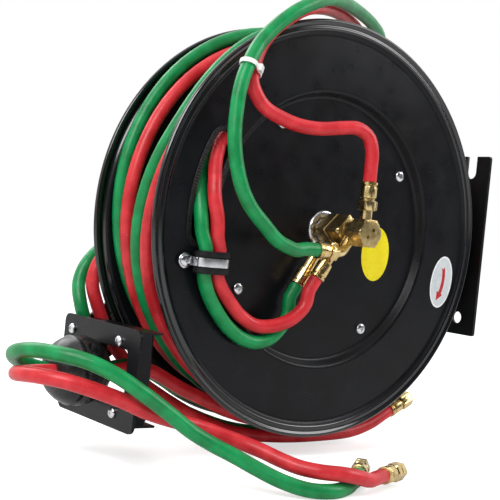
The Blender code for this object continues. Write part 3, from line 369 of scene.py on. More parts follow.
delivery_tips = {"green": Vector((-18, -98, -234)), "red": Vector((-16, -130, -228.5))}
delivery_ways = {"green": Vector((0.73, 0.68, 0)), "red": Vector((0.93, 0.36, 0))}
delivery_routes = {
    "green": [
        (-301, 65, -154), (-318, 54, -147), (-329, 37, -140), (-332.5, 16, -134.5),
        (-329, -6, -131), (-318, -28, -131), (-301, -46, -134), (-280, -60, -143),
        (-254, -69.5, -159), (-228, -73, -176), (-204, -75, -192), (-184, -81, -203),
        (-168, -91, -211), (-152, -105, -220), (-134, -122, -229), (-114, -136, -234.5),
        (-92, -142, -235.7), (-70, -137, -235.5), (-48, -123, -234.5)],
    "red": [
        (-302, 49.5, -159), (-320, 38.5, -158), (-332.5, 20, -155.5), (-336, -2, -152.5),
        (-330, -23, -151), (-315, -41, -152.5), (-294, -52, -158), (-268, -56.5, -166.5),
        (-240, -57, -177.5), (-212, -57, -185.5), (-188, -58, -191), (-165, -65, -198),
        (-147, -76, -204), (-134, -90, -209), (-124, -105, -214), (-113, -120, -218),
        (-99, -135, -219.5), (-81, -143.5, -220.5), (-62, -145, -224)],
}
for colour, cover in covers.items():
    y, tip, way = pair_y[colour], delivery_tips[colour], delivery_ways[colour].normalized()
    tangent = along_drum(run_off)
    start = on_drum(run_off, top_layer, y) + tangent * run_off_gap
    leave = on_drum(leave_turn, top_layer, y)
    route = [start, start + tangent * hose_width]
    route += [on_drum(turn, top_layer, y) for turn in (270.0, 277.0, 284.0, leave_turn)]
    route += [leave + along_drum(leave_turn) * gone for gone in (28.0, 52.0)]
    route += [(x, y, z) for x, z in guide_run]
    route += [(x, y, stop_z) for x in (-220.5, -231, -243, -256, -269, -281)]
    route += delivery_routes[colour]
    route += [tip - way * (end_straight * hose_width), tip - way * hose_width, tip]
    name = "delivery_" + colour
    round_bar(name + "_hose", smooth_line(route, line_step), hose_width, cover,
                                       "frame", [name])

# ---------------------------------------------------------------- ends of the free hoses
# Each hose ends in a brass stem with a crimped ferrule.  The delivery ends have loose union nuts for
# the torch, and the lead-in ends have nuts for the regulators' hoses.
brass = surface("machined_brass", (0.60, 0.43, 0.17), (0.83, 0.65, 0.32), 160.0, (0.16, 0.30), 2600.0,
                0.03, metallic=1.0)


def across(way):
    """Two directions square to a way, the same as those of the frame's own turned parts."""
    forward = Vector(way).normalized()
    helper = Vector((1, 0, 0)) if abs(forward.z) > 0.9 else Vector((0, 0, 1))
    side = forward.cross(helper).normalized()
    return forward, side, side.cross(forward)


def new_piece(name, shape, material, crease=30.0):
    """Mesh in millimetres from the front rim, put into the scene with smooth round faces."""
    bmesh.ops.recalc_face_normals(shape, faces=shape.faces)
    for vert in shape.verts:
        vert.co = spot(*vert.co)
    mesh = bpy.data.meshes.new(name)
    shape.to_mesh(mesh)
    shape.free()
    mesh.shade_smooth()
    mesh.set_sharp_from_angle(angle=math.radians(crease))
    mesh.materials.append(material)
    return put_in(name, mesh)


def skin(shape, loops, hollow):
    """Faces from each loop of points to the next; hollow joins the last loop to the first, and
    otherwise both end loops are filled."""
    pairs = list(zip(loops, loops[1:]))
    if hollow:
        pairs.append((loops[-1], loops[0]))
    else:
        shape.faces.new(loops[0])
        shape.faces.new(loops[-1])
    for a, b in pairs:
        for i in range(len(a)):
            j = (i + 1) % len(a)
            shape.faces.new((a[i], a[j], b[j], b[i]))


def turned(name, steps, base, way, material, sides=48, hollow=False, crease=30.0):
    """Piece turned from bar stock: steps are (distance, radius) for round stretches, or
    (distance, half width over flats, number of flats, radius of the turned chamfer)."""
    forward, side, up = across(way)
    shape = bmesh.new()
    rings = []
    for step in steps:
        ring = []
        for i in range(sides):
            angle = 2 * math.pi * i / sides
            radius = step[1]
            if len(step) > 2:
                pitch = 2 * math.pi / step[2]
                radius = min(radius / math.cos(angle % pitch - pitch / 2), step[3])
            out = (side * math.cos(angle) + up * math.sin(angle)) * radius
            ring.append(shape.verts.new(Vector(base) + forward * step[0] + out))
        rings.append(ring)
    skin(shape, rings, hollow)
    return new_piece(name, shape, material, crease)


def hexagon(start, end, half, chamfer=0.9):
    """Steps of a hexagonal stretch with turned chamfers at both ends."""
    corner = half / math.cos(math.pi / 6)
    steps = [(start, half, 6, half * 0.97), (start + chamfer, half, 6, corner)]
    return steps + [(end - chamfer, half, 6, corner), (end, half, 6, half * 0.97)]


def crimp(start, end, mouth, body, flats=10):
    """Steps of a crimped ferrule: a rolled lip, a groove and a body squeezed flat all round."""
    corner = body / math.cos(math.pi / flats)
    steps = [(start, mouth), (start + 0.5, body + 0.2), (start + 3.0, body + 0.3)]
    steps += [(start + 3.4, body - 0.9), (start + 4.4, body - 0.9), (start + 4.8, body - 0.2)]
    steps += [(start + 5.4, body - 0.2, flats, corner), (end - 1.6, body - 0.2, flats, corner)]
    return steps + [(end - 0.8, body - 0.2), (end, body - 1.2)]


def finished(piece, body, slot, *replaced):
    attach(piece, body)
    if replaced:
        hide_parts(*replaced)
    return piece


nut_half, nut_pitch = 8.2, 2.2
hose_ends = {"green": [], "red": []}
for colour in ("green", "red"):
    tip, way = delivery_tips[colour], delivery_ways[colour].normalized()
    steps = crimp(0.3, 17.0, 7.5, 8.3) + [(17.0, 4.5), (21.5, 4.5), (21.7, 6.0), (23.3, 6.0)]
    steps += [(24.0, 4.2), (32.0, 4.0), (34.0, 3.0), (34.0, 2.0), (26.0, 2.0)]
    ferrule = turned("delivery_ferrule_" + colour + "_brass", steps, tip, way, brass)
    finished(ferrule, "frame", "brass", "delivery_ferrule_" + colour)
    corner = nut_half / math.cos(math.pi / 6)
    steps = [(18.5, 4.8), (18.5, 7.6), (19.4, nut_half, 6, corner), (26.4, nut_half, 6, corner)]
    steps += [(26.9, 7.7), (27.6, 7.7), (28.1, nut_half, 6, corner), (35.6, nut_half, 6, corner)]
    steps += [(37.0, 7.6), (37.0, 6.6), (36.2, 6.3), (35.6, 6.5)]
    for thread in range(5):
        steps += [(34.6 - nut_pitch * thread, 6.2), (33.5 - nut_pitch * thread, 6.6)]
    steps += [(22.4, 6.4), (21.2, 4.8)]
    nut = turned("delivery_nut_" + colour + "_brass", steps, tip, way, brass, hollow=True)
    finished(nut, "delivery_nut_" + colour, "brass", "delivery_nut_" + colour)
    tip = lead_tips[colour]
    steps = crimp(0.3, 18.0, 7.5, 8.3) + [(18.0, 6.0), (20.0, 6.0)] + hexagon(20.0, 36.2, nut_half)
    steps += [(37.0, 7.2), (37.0, 5.6), (30.0, 5.2)]
    end = turned("lead_end_" + colour + "_brass", steps, tip, lead_end_way, brass)
    hose_ends[colour].append(finished(end, "frame", "brass", "lead_end_" + colour))

# ---------------------------------------------------------------- zip tie
# White nylon tie that bundles the two lead-in hoses where they start their arch: a strap
# pulled tight round both, with its ratchet head on the outer side.
nylon = surface("white_nylon", (0.78, 0.78, 0.76), (0.88, 0.88, 0.86), 300.0, (0.32, 0.48), 2500.0, 0.03)
tie_near = Vector((-146, -29, 144))


def nearest_on(line, place):
    steps = []
    for a, b in zip(line, line[1:]):
        run = b - a
        t = min(max((place - a).dot(run) / run.dot(run), 0.0), 1.0)
        near = a + run * t
        steps.append(((near - place).length, near, run.normalized()))
    return min(steps, key=lambda step: step[0])[1:]


def oval_ring(half_length, radius, count):
    """Racetrack outline round two hoses lying side by side."""
    points = []
    for i in range(count):
        angle = -math.pi / 2 + math.pi * i / (count - 1)
        points.append((half_length + radius * math.cos(angle), radius * math.sin(angle)))
    return points + [(-x, -y) for x, y in points]


tie_green, green_way = nearest_on(lead_lines["green"], tie_near)
tie_red, red_way = nearest_on(lead_lines["red"], tie_green)
tie_along = (green_way + red_way).normalized()
tie_across = (tie_red - tie_green) - tie_along * (tie_red - tie_green).dot(tie_along)
tie_half = tie_across.length / 2
tie_across.normalize()
tie_out = tie_along.cross(tie_across)
tie_middle = (tie_green + tie_red) / 2
tie_section = [(7.8, -2.0), (7.8, 2.0), (8.1, 2.4), (8.8, 2.4)]
tie_section += [(9.1, 2.0), (9.1, -2.0), (8.8, -2.4), (8.1, -2.4)]


def by_tie(across, out, along):
    return tie_middle + tie_across * across + tie_out * out + tie_along * along


shape = bmesh.new()
loops = []
for radius, shift in tie_section:
    ring = oval_ring(tie_half, radius, 24)
    loops.append([shape.verts.new(by_tie(a, b, shift)) for a, b in ring])
skin(shape, loops, hollow=True)
head_low, head_high = Vector((-4.4, -12.4, -3.4)), Vector((2.6, -7.9, 3.4))
head = []
for along in (head_low.z, head_high.z):
    for out in (head_low.y, head_high.y):
        for side in (head_low.x, head_high.x):
            head.append(shape.verts.new(by_tie(side, out, along)))
for quad in ((0, 1, 3, 2), (4, 5, 7, 6), (0, 1, 5, 4), (2, 3, 7, 6), (0, 2, 6, 4), (1, 3, 7, 5)):
    shape.faces.new([head[i] for i in quad])
tie = new_piece("nylon_tie", shape, nylon)
edge = tie.modifiers.new("soft_edges", "BEVEL")
edge.width = 0.5 * mm
edge.segments = 2
finished(tie, "frame", "white_plastic", "zip_tie")

# ---------------------------------------------------------------- wall plate and arms
# Laser-cut steel plates, bent and welded, with black powder coat: the wall plate hangs on two bolts
# by its open slots, the pedestal arm carries the axle behind the drum, and a second arm the guide.
black_coat = surface("black_powder_coat", (0.0028, 0.0030, 0.0040), (0.0052, 0.0057, 0.0080), 22.0,
                     (0.26, 0.36), 800.0, 0.14, specular=0.24, specks=((0.022, 0.022, 0.026), 420.0))
wall_x = 244.0
clearance = 0.3


def arc(cx, cy, radius, start, end, count):
    angles = [math.radians(start + (end - start) * i / (count - 1)) for i in range(count)]
    return [(cx + radius * math.cos(a), cy + radius * math.sin(a)) for a in angles]


def rounded_box(low, high, radius, count=10):
    (x0, y0), (x1, y1) = low, high
    points = arc(x1 - radius, y1 - radius, radius, 0, 90, count)
    points += arc(x0 + radius, y1 - radius, radius, 90, 180, count)
    points += arc(x0 + radius, y0 + radius, radius, 180, 270, count)
    return points + arc(x1 - radius, y0 + radius, radius, 270, 360, count)


def slab(name, outline, low, high, axis, material):
    """Plate cut to an outline across one axis, from low to high along it."""
    shape = bmesh.new()
    ends = []
    depth_at = "XYZ".index(axis)
    for depth in (low, high):
        ends.append([shape.verts.new((*pair[:depth_at], depth, *pair[depth_at:])) for pair in outline])
    skin(shape, ends, hollow=False)
    return new_piece(name, shape, material)


def work(piece, tool, how="DIFFERENCE"):
    """Cuts a tool out of a piece, or welds it on, and clears the tool away."""
    step = piece.modifiers.new("work", "BOOLEAN")
    step.object = tool
    step.operation = how
    step.solver = "EXACT"
    made = as_shown(piece)
    piece.modifiers.remove(step)
    piece.data = made
    made.shade_smooth()
    made.set_sharp_from_angle(angle=math.radians(30.0))
    bpy.data.objects.remove(tool)


def drill(piece, place, radius, low, high, axis, count=24):
    """Round hole across one axis, from low to high along it."""
    hole = arc(*place, radius, 0, 360 - 360 / count, count)
    work(piece, slab("drill", hole, low, high, axis, piece.data.materials[0]))


def break_edges(piece, width, segments=2):
    edge = piece.modifiers.new("broken_edges", "BEVEL")
    edge.width = width * mm
    edge.segments = segments
    edge.limit_method = "ANGLE"
    edge.angle_limit = math.radians(40.0)
    edge.harden_normals = True
    return piece


def wrapped(points):
    """Straight-sided outline round a set of points, as a string pulled round them."""
    points = sorted(set((round(x, 4), round(y, 4)) for x, y in points))
    halves = []
    for order in (points, points[::-1]):
        chain = []
        for p in order:
            while len(chain) > 1:
                (ax, ay), (bx, by) = chain[-2], chain[-1]
                if (bx - ax) * (p[1] - ay) - (by - ay) * (p[0] - ax) > 0:
                    break
                chain.pop()
            chain.append(p)
        halves += chain[:-1]
    return halves


plate_front, plate_back, plate_half, plate_thick = 2.0, 148.0, 107.5, 4.0
plate_corner, slot_lip = 3.0, 1.0
slot_inset, slot_half, slot_deep = 28.0, 7.5, 27.0
hole_inset, hole_up, hole_radius = 27.5, 20.0, 7.0
corner_low, corner_high = plate_corner - plate_half, plate_half - plate_corner
outline = arc(plate_front + plate_corner, corner_low, plate_corner, 180, 270, 6)
outline += arc(plate_back - plate_corner, corner_low, plate_corner, 270, 360, 6)
outline += arc(plate_back - plate_corner, corner_high, plate_corner, 0, 90, 6)
for centre in (plate_back - slot_inset, plate_front + slot_inset):
    outline += arc(centre + slot_half + slot_lip, plate_half - slot_lip, slot_lip, 90, 180, 3)
    outline += arc(centre, plate_half - slot_deep + slot_half, slot_half, 0, -180, 25)
    outline += arc(centre - slot_half - slot_lip, plate_half - slot_lip, slot_lip, 0, 90, 3)
outline += arc(plate_front + plate_corner, corner_high, plate_corner, 90, 180, 6)
plate = slab("wall_plate_steel", outline, wall_x - plate_thick, wall_x, "X", black_coat)
for centre in (plate_front + hole_inset, plate_back - hole_inset):
    drill(plate, (centre, hole_up - plate_half), hole_radius, 230.0, 250.0, "X", 48)
finished(break_edges(plate, 0.5), "frame", "black_coat", "wall_plate")

axle_middle, backward = (0, 0, 0), (0, 1, 0)
axle_radius = 12.5
arm_front, arm_back, arm_end = 119.0, 124.0, 239.7
foot_front = arm_end - 5.0
outline = wrapped(arc(0, 0, 32.0, 0, 357, 120) + [(235, 60), (arm_end, 62), (arm_end, -62), (235, -60)])
arm = slab("pedestal_arm_steel", outline, arm_front, arm_back, "Y", black_coat)
drill(arm, (0, 0), axle_radius + clearance, 110.0, 130.0, "Y", 72)
foot = rounded_box((90, -70), (141, 70), 4.0)
work(arm, slab("foot", foot, foot_front, arm_end, "X", black_coat), "UNION")
weld_leg, weld_half = 3.96, 58.0
weld_x, weld_root = foot_front + 0.2, foot_front - 4.2
leg_x = weld_x - weld_leg
for y, sign in ((arm_front, -1), (arm_back, 1)):
    points = wrapped([(leg_x, 0), (weld_x, weld_leg), (weld_x, -0.2), (weld_root, -0.2)])
    weld = [(x, y + sign * d) for x, d in points]
    work(arm, slab("weld", weld, -weld_half, weld_half, "Z", black_coat), "UNION")
pin = turned("pin", [(0, 3.0), (19.2, 3.0), (20.0, 2.4)], (88, 102.2, 30), backward, black_coat)
work(arm, pin, "UNION")
finished(break_edges(arm, 0.4), "frame", "black_coat", "pedestal_arm")

guide_x, guide_thick = -231.0, 3.0
outline = wrapped(arc(0, 0, 30.0, 0, 357, 120) + [(-224.4, -130), (-224.4, -192)])
arm = slab("guide_arm_steel", outline, 134.5, 138.5, "Y", black_coat)
foot_x = guide_x + guide_thick + 2.0 + 2 * clearance
foot = rounded_box((121.5, -200), (138.5, -122), 1.5)
work(arm, slab("foot", foot, foot_x, foot_x + 4.0, "X", black_coat), "UNION")
drill(arm, (0, 0), axle_radius + clearance, 125.0, 145.0, "Y", 72)
finished(break_edges(arm, 0.4), "frame", "black_coat", "guide_arm")

# ---------------------------------------------------------------- axle
# Fixed 25 mm steel axle, bored through for the swivel's stem, with collars on both sides of the
# pedestal arm and a cut thread for the big zinc-plated nut behind the guide arm.
steel = surface("plain_steel", (0.30, 0.31, 0.33), (0.50, 0.51, 0.53), 90.0, (0.28, 0.44), 1800.0, 0.05,
                metallic=1.0)
zinc = surface("bright_zinc", (0.66, 0.67, 0.70), (0.84, 0.85, 0.87), 90.0, (0.16, 0.26), 2200.0, 0.015,
               metallic=1.0)
stem_bore, collar, axle_pitch = 6.3, 18.0, 1.2
steps = [(9.0, stem_bore), (9.0, 12.0), (9.5, axle_radius), (116.5, axle_radius), (116.5, collar - 0.5)]
steps += [(117.0, collar), (118.7, collar), (118.7, axle_radius), (124.3, axle_radius), (124.3, collar)]
steps += [(133.7, collar), (134.2, collar - 0.5), (134.2, axle_radius)]
for thread in range(12):
    crest = 140.4 + axle_pitch * thread
    steps += [(crest, axle_radius), (crest + axle_pitch / 2, axle_radius - 0.7)]
steps += [(155.0, 11.4), (155.0, stem_bore)]
shaft = turned("axle_steel", steps, axle_middle, backward, steel, sides=64, hollow=True)
finished(shaft, "frame", "steel", "main_shaft")
steps = [(138.8, axle_radius + 0.8)] + hexagon(138.8, 149.0, 18.0, 1.2) + [(149.0, axle_radius + 0.8)]
nut = turned("axle_nut_zinc", steps, axle_middle, backward, zinc, sides=72, hollow=True)
finished(nut, "frame", "zinc", "shaft_nut")

# ---------------------------------------------------------------- drum discs
# Two spun steel discs with black powder coat, 440 mm across: a flat floor, a step up to a flat ring,
# and a double rolled bead round the rim, rubbed shiny.  The front one has a slot for the hoses.
drum_width = 115.0
disc_sheet = 1.5
floor_radius, floor_y = 139.5, 13.5
step_radius, ring_y = 145.0, 4.0
bolt_circle, bolt_angle = 124.8, 33.26


def eased_corners(points, reach, count=5):
    """Closed outline with each corner turned into a short curve, and a guard point beside each."""
    made = []
    for before, corner, after in zip(points[-1:] + points[:-1], points, points[1:] + points[:1]):
        back, on = Vector(before) - Vector(corner), Vector(after) - Vector(corner)
        cut = min(reach, back.length * 0.45, on.length * 0.45)
        start = Vector(corner) + back.normalized() * cut
        end = Vector(corner) + on.normalized() * cut
        if back.length > 4 * cut:
            made.append(start + back.normalized() * 0.5)
        for k in range(count + 1):
            t = k / count
            made.append(start.lerp(Vector(corner), t).lerp(Vector(corner).lerp(end, t), t))
        if on.length > 4 * cut:
            made.append(end + on.normalized() * 0.5)
    return made


floor_back, ring_back = floor_y + disc_sheet, ring_y + disc_sheet
disc_face = [(13.0, floor_y), (floor_radius, floor_y), (step_radius, ring_y), (204.5, ring_y)]
disc_face += [(209.0, -0.8), (213.0, 1.2), (217.0, -1.8), (220.0, 1.2), (218.0, 4.6), (213.2, 3.4)]
disc_face += [(209.4, 1.5), (205.3, ring_back), (step_radius + 0.9, ring_back)]
disc_face += [(floor_radius + 0.9, floor_back), (13.0, floor_back)]
disc_profile = eased_corners(disc_face, 2.6)
slot_inner, slot_outer, slot_from, slot_to = 150.0, 175.5, -9.5, 31.5


def slot_edge(count):
    """Points round the hose slot, with the direction out of the slot at each."""
    middle, half = (slot_inner + slot_outer) / 2, (slot_outer - slot_inner) / 2
    margin = math.degrees(half / middle)
    low, high = slot_from + margin, slot_to - margin
    points = []
    for begin, end, radius, side in ((low, high, slot_outer, 1), (high, low, slot_inner, -1)):
        for i in range(count):
            way = on_drum(begin + (end - begin) * i / count, 1.0, 0.0)
            points.append((way * radius, way * side))
        for i in range(count // 2):
            angle = math.pi * i / (count // 2)
            way = (on_drum(end, 1, 0) * math.cos(angle) + along_drum(end) * math.sin(angle)) * side
            points.append((on_drum(end, middle, 0.0) + way * half, way))
    return points


rubbed_bead = surface("rubbed_bead_coat", (0.0028, 0.0030, 0.0040), (0.0070, 0.0076, 0.0100), 30.0,
                      (0.10, 0.17), 900.0, 0.05, specular=0.85)
bead_inside, disc_crease = 207.0, 50.0
bolt_places = []
for i in range(4):
    angle = math.radians(bolt_angle + 90 * i)
    bolt_places.append((bolt_circle * math.cos(angle), bolt_circle * math.sin(angle)))
for name, rear in (("flange_front", False), ("flange_rear", True)):
    steps = [(drum_width - p.y if rear else p.y, p.x) for p in disc_profile]
    disc = turned(name + "_steel", steps, axle_middle, backward, black_coat, 256, True, disc_crease)
    depth = drum_width - floor_y if rear else floor_y
    for place in bolt_places:
        drill(disc, place, 3.3, depth - 5, depth + 5, "Y", 32)
    if not rear:
        window = [(p.x, p.z) for p, _ in slot_edge(32)]
        work(disc, slab("punch", window, -5.0, 9.0, "Y", black_coat))
    disc.data.set_sharp_from_angle(angle=math.radians(disc_crease))
    disc.data.materials.append(rubbed_bead)
    for face in disc.data.polygons:
        middle = face.center - axle
        face.material_index = int(math.hypot(middle.x, middle.z) > bead_inside * mm)
    finished(disc, "drum", "black_coat", name)

# ---------------------------------------------------------------- slot trim
# Black rubber edging pressed over the sheet round the hose slot, so that it can't cut the hoses.
# Its gripping lips are toothed all the way round.
black_rubber = surface("black_rubber", (0.004, 0.004, 0.004), (0.009, 0.009, 0.010), 120.0, (0.42, 0.60),
                       1500.0, 0.08, specular=0.30)
trim_grip, trim_lip, trim_thick, tooth_deep = 4.0, 1.5, 1.6, 0.45
face_low, face_high = ring_y - clearance, ring_back + clearance
shape = bmesh.new()
loops = []
for number, (place, way) in enumerate(slot_edge(64)):
    tooth = tooth_deep if number % 2 else 0.0
    front, back = ring_y - trim_thick + tooth, ring_back + trim_thick - tooth
    section = [(trim_lip, front + 0.4), (trim_lip, back - 0.4), (trim_lip - 0.5, back)]
    section += [(-trim_grip + 0.4, back), (-trim_grip, back - 0.4), (-trim_grip, face_high)]
    section += [(clearance, face_high), (clearance, face_low), (-trim_grip, face_low)]
    section += [(-trim_grip, front + 0.4), (-trim_grip + 0.4, front), (trim_lip - 0.5, front)]
    loops.append([shape.verts.new((place.x - way.x * n, y, place.z - way.z * n)) for n, y in section])
skin(shape, loops, hollow=True)
finished(new_piece("slot_edging", shape, black_rubber), "drum", "black_rubber", "slot_trim")

# ---------------------------------------------------------------- drum bolts
# Four zinc-plated machine screws with wide cross-slotted heads hold the two discs to the barrel,
# each with a hexagonal nut on the rear disc.


def cross_slot(centre, way, width, deep):
    """Cutter for a cross recess, pushed in from the top of a screw's head."""
    forward, side, up = across(way)
    shape = bmesh.new()
    ends = []
    for depth, half, thin in ((-2.0, width, 0.75), (deep, width * 0.55, 0.45)):
        cross = [(half, thin), (thin, thin), (thin, half), (-thin, half), (-thin, thin), (-half, thin)]
        cross += [(-x, -y) for x, y in cross]
        middle = Vector(centre) + forward * depth
        ends.append([shape.verts.new(middle + side * x + up * y) for x, y in cross])
    skin(shape, ends, hollow=False)
    return new_piece("recess", shape, zinc)


for number, (x, z) in enumerate(bolt_places, 1):
    steps = [(10.0, 1.6), (10.05, 3.0), (10.4, 4.6), (11.0, 5.6), (11.6, 6.0), (12.5, 6.2)]
    steps += [(13.2, 6.2), (13.2, 3.0), (101.8, 3.0)] + hexagon(101.8, 106.0, 5.5, 0.6)
    steps += [(106.0, 3.0), (106.5, 2.4)]
    bolt = turned("drum_bolt_%d_zinc" % number, steps, (x, 0, z), backward, zinc)
    work(bolt, cross_slot((x, 10.0, z), backward, 3.4, 1.9))
    finished(bolt, "drum", "zinc", "drum_bolt_%d" % number)

# ---------------------------------------------------------------- hub ring
# Chrome-bright ring nut that closes the front bearing, with eight notches for a hook spanner and a
# chamfer on its outer edge.
notch_count, first_notch = 8, 20.0
notch_from, notch_to, notch_half = 12.0, 16.2, 1.4
steps = [(10.4, 13.0), (9.7, 13.6), (9.6, 14.5), (9.6, 18.6), (9.9, 19.4), (11.0, 20.3), (11.4, 20.5)]
steps += [(13.2, 20.5), (13.2, 13.0)]
ring = turned("hub_ring_zinc", steps, axle_middle, backward, zinc, sides=96, hollow=True)
for i in range(notch_count):
    turn = first_notch + 360.0 * i / notch_count
    radial = on_drum(turn, 1.0, 0.0)
    beside = along_drum(turn) * notch_half
    corners = [radial * notch_from + beside, radial * notch_to + beside]
    corners += [radial * notch_to - beside, radial * notch_from - beside]
    work(ring, slab("notch", [(p.x, p.z) for p in corners], 5.0, 11.2, "Y", zinc))
finished(ring, "drum", "zinc", "hub_ring")

# ---------------------------------------------------------------- labels on the front disc
# Two printed vinyl ovals stuck on the paint: a plain yellow one on the floor beside the swivel, and
# a pale one on the ring with a red arrow that shows which way the drum turns.


def vinyl(name, colour, faded):
    return surface(name, faded, colour, 60.0, (0.22, 0.34), 900.0, 0.03)


def oval(name, centre, half_wide, half_high, tilt, low, high, material, steps=72):
    cosine, sine = math.cos(math.radians(tilt)), math.sin(math.radians(tilt))
    points = []
    for i in range(steps):
        a = 2 * math.pi * i / steps
        u, v = half_wide * math.cos(a), half_high * math.sin(a)
        points.append((centre[0] + u * cosine - v * sine, centre[1] + u * sine + v * cosine))
    finished(slab(name, points, low, high, "Y", material), "drum", "white_plastic")


yellow = vinyl("yellow_vinyl", (0.93, 0.78, 0.003), (0.86, 0.70, 0.002))
pale = vinyl("pale_vinyl", (0.62, 0.66, 0.68), (0.55, 0.59, 0.61))
border = vinyl("white_vinyl", (0.86, 0.87, 0.88), (0.80, 0.81, 0.82))
arrow_red = vinyl("red_vinyl", (0.52, 0.010, 0.016), (0.44, 0.008, 0.012))
label_thick, print_thick = 0.15, 0.06
label_face = ring_y - label_thick
print_face = label_face - print_thick
oval("yellow_label", (80.0, -20.6), 20.5, 30.0, 0.0, floor_y - label_thick, floor_y, yellow)
pale_centre, pale_tilt = (179.4, -45.6), -8.0
oval("pale_label_border", pale_centre, 17.0, 30.0, pale_tilt, label_face, ring_y, border)
oval("pale_label", pale_centre, 15.2, 28.0, pale_tilt, print_face, label_face, pale)
arrow_radius, arrow_half, barb_half = 46.0, 2.3, 5.2
arrow_tail, arrow_neck, arrow_tip = 14.0, -24.0, -37.0
arrow_middle = (pale_centre[0] - arrow_radius + 3.0, pale_centre[1] + 6.0)


def on_arrow(radius, degrees):
    return arc(*arrow_middle, radius, degrees, degrees + 1.0, 2)[:1]


outline = arc(*arrow_middle, arrow_radius + arrow_half, arrow_tail, arrow_neck, 16)
outline += on_arrow(arrow_radius + barb_half, arrow_neck) + on_arrow(arrow_radius, arrow_tip)
outline += on_arrow(arrow_radius - barb_half, arrow_neck)
outline += arc(*arrow_middle, arrow_radius - arrow_half, arrow_neck, arrow_tail, 16)
outline += on_arrow(arrow_radius, arrow_tail - 3.0)
arrow = slab("turning_arrow", outline, print_face - print_thick, print_face, "Y", arrow_red)
finished(arrow, "drum", "white_plastic")

# ---------------------------------------------------------------- swivel
# Machined brass swivel: the square body turns with the drum and carries the two hose outlets, and
# the fixed stem ends in a hexagonal cap with the inlets, one straight up and one on an elbow.
cap_half = 14.0
outlet_way = Vector((-0.53, 0.0, -0.85)).normalized()
outlet_bases = {"green": Vector((-2, -1, 0)), "red": Vector((2, -19, 0))}
outlet_starts = {"green": 19.5, "red": 17.0}
outlet_lengths = {"green": 51.5, "red": 43.5}
cast_brass = surface("sawn_brass", (0.40, 0.29, 0.12), (0.62, 0.48, 0.23), 210.0, (0.26, 0.42), 1500.0,
                     0.10, metallic=1.0)
steps = [(-30.0, stem_bore), (-30.0, 11.6), (-29.2, 13.0, 4, 15.0), (-27.6, 13.0, 4, 17.8)]
steps += [(-11.0, 13.0, 4, 17.8), (-10.4, 12.3, 4, 17.0), (-9.2, 12.3, 4, 17.0), (-8.6, 13.0, 4, 17.8)]
steps += [(5.4, 13.0, 4, 17.8), (7.2, 13.0, 4, 15.0), (8.0, 11.6), (8.0, stem_bore)]
rotor = turned("swivel_body_brass", steps, axle_middle, backward, cast_brass, sides=96, hollow=True)
finished(rotor, "drum", "brass", "swivel_rotor")
steps = [(-62.0, 12.6), (-61.5, cap_half, 6, 14.4), (-60.6, cap_half, 6, 16.2)]
steps += [(-43.4, cap_half, 6, 16.2), (-42.3, cap_half, 6, 14.6), (-42.0, 11.5), (-32.0, 11.5)]
steps += [(-31.2, 10.8), (-30.6, 10.8), (-30.6, 6.0), (26.0, 6.0)]
stem = turned("swivel_stem_brass", steps, axle_middle, backward, cast_brass, sides=96)
for x, z in ((3.2, 3.8), (-3.6, -3.4)):
    work(stem, slab("drill", arc(x, z, 1.9, 0, 348, 24), -66.0, -59.0, "Y", cast_brass))
finished(stem, "frame", "brass", "swivel_stem")


def crimp_at_end(length, crimped, body):
    """Crimped ferrule whose mouth is at the far end of a fitting."""
    return [(length - step[0], *step[1:]) for step in reversed(crimp(0.0, crimped, 7.6, body))]


for colour, total in outlet_lengths.items():
    steps = [(0.0, 5.0), (6.0, 5.0)] + hexagon(6.0, 15.0, 7.5, 0.7) + [(15.0, 6.2), (total - 20.0, 6.2)]
    steps += crimp_at_end(total, 20.0, 8.2)
    base = outlet_bases[colour] + outlet_way * outlet_starts[colour]
    outlet = turned("outlet_" + colour + "_brass", steps, base, outlet_way, brass)
    finished(outlet, "drum", "brass", "outlet_" + colour)
steps = [(0.0, 6.0), (9.0, 6.0)] + hexagon(9.0, 19.0, 9.0) + [(19.0, 7.0), (21.0, 7.0)]
steps += crimp_at_end(38.0, 17.0, 8.4)
inlet = turned("inlet_red_brass", steps, (0, -52, cap_half + clearance), (0, 0, 1), brass)
finished(inlet, "frame", "brass", "inlet_fitting_red")
steps = hexagon(0.0, 9.0, 9.0) + [(9.0, 7.0), (9.6, 7.0)] + crimp_at_end(23.0, 13.4, 8.4)
inlet = turned("inlet_green_brass", steps, (-27.3, -40, -21.5), (-1, 0, 0), brass)
finished(inlet, "frame", "brass", "inlet_fitting_green")
elbow = [(-5.7, -36.3, -7.6), (-8.6, -36.4, -11.4), (-11.5, -36.6, -15.0), (-15.0, -38.0, -18.6)]
elbow += [(-19.5, -39.6, -21.0), (-23.2, -40.0, -21.5), (-27.0, -40.0, -21.5)]
round_bar("inlet_elbow_brass", elbow, 12.6, brass, "frame", ["inlet_elbow"])

# ---------------------------------------------------------------- hose clip
# Rubber-lined clip that holds the two hoses to the front disc below the slot: a bent strap of
# bright steel over a black rubber cushion, held by one screw with a big cross-slotted head.
clip_places = {"red": (-145.5, -7.3), "green": (-161.0, -7.3)}
clip_z, screw_x = -43.5, -179.0
clip_middle = ((clip_places["green"][0] + clip_places["red"][0]) / 2, clip_places["green"][1])
clip_half = (clip_places["red"][0] - clip_places["green"][0]) / 2


def clip_band(name, section, material):
    """Band bent round the two hoses, with a section of (distance from hose centre, z)."""
    shape = bmesh.new()
    loops = []
    for radius, z in section:
        ring = oval_ring(clip_half, radius, 32)
        places = [(clip_middle[0] + a, clip_middle[1] + b, clip_z + z) for a, b in ring]
        loops.append([shape.verts.new(place) for place in places])
    skin(shape, loops, hollow=True)
    return new_piece(name, shape, material)


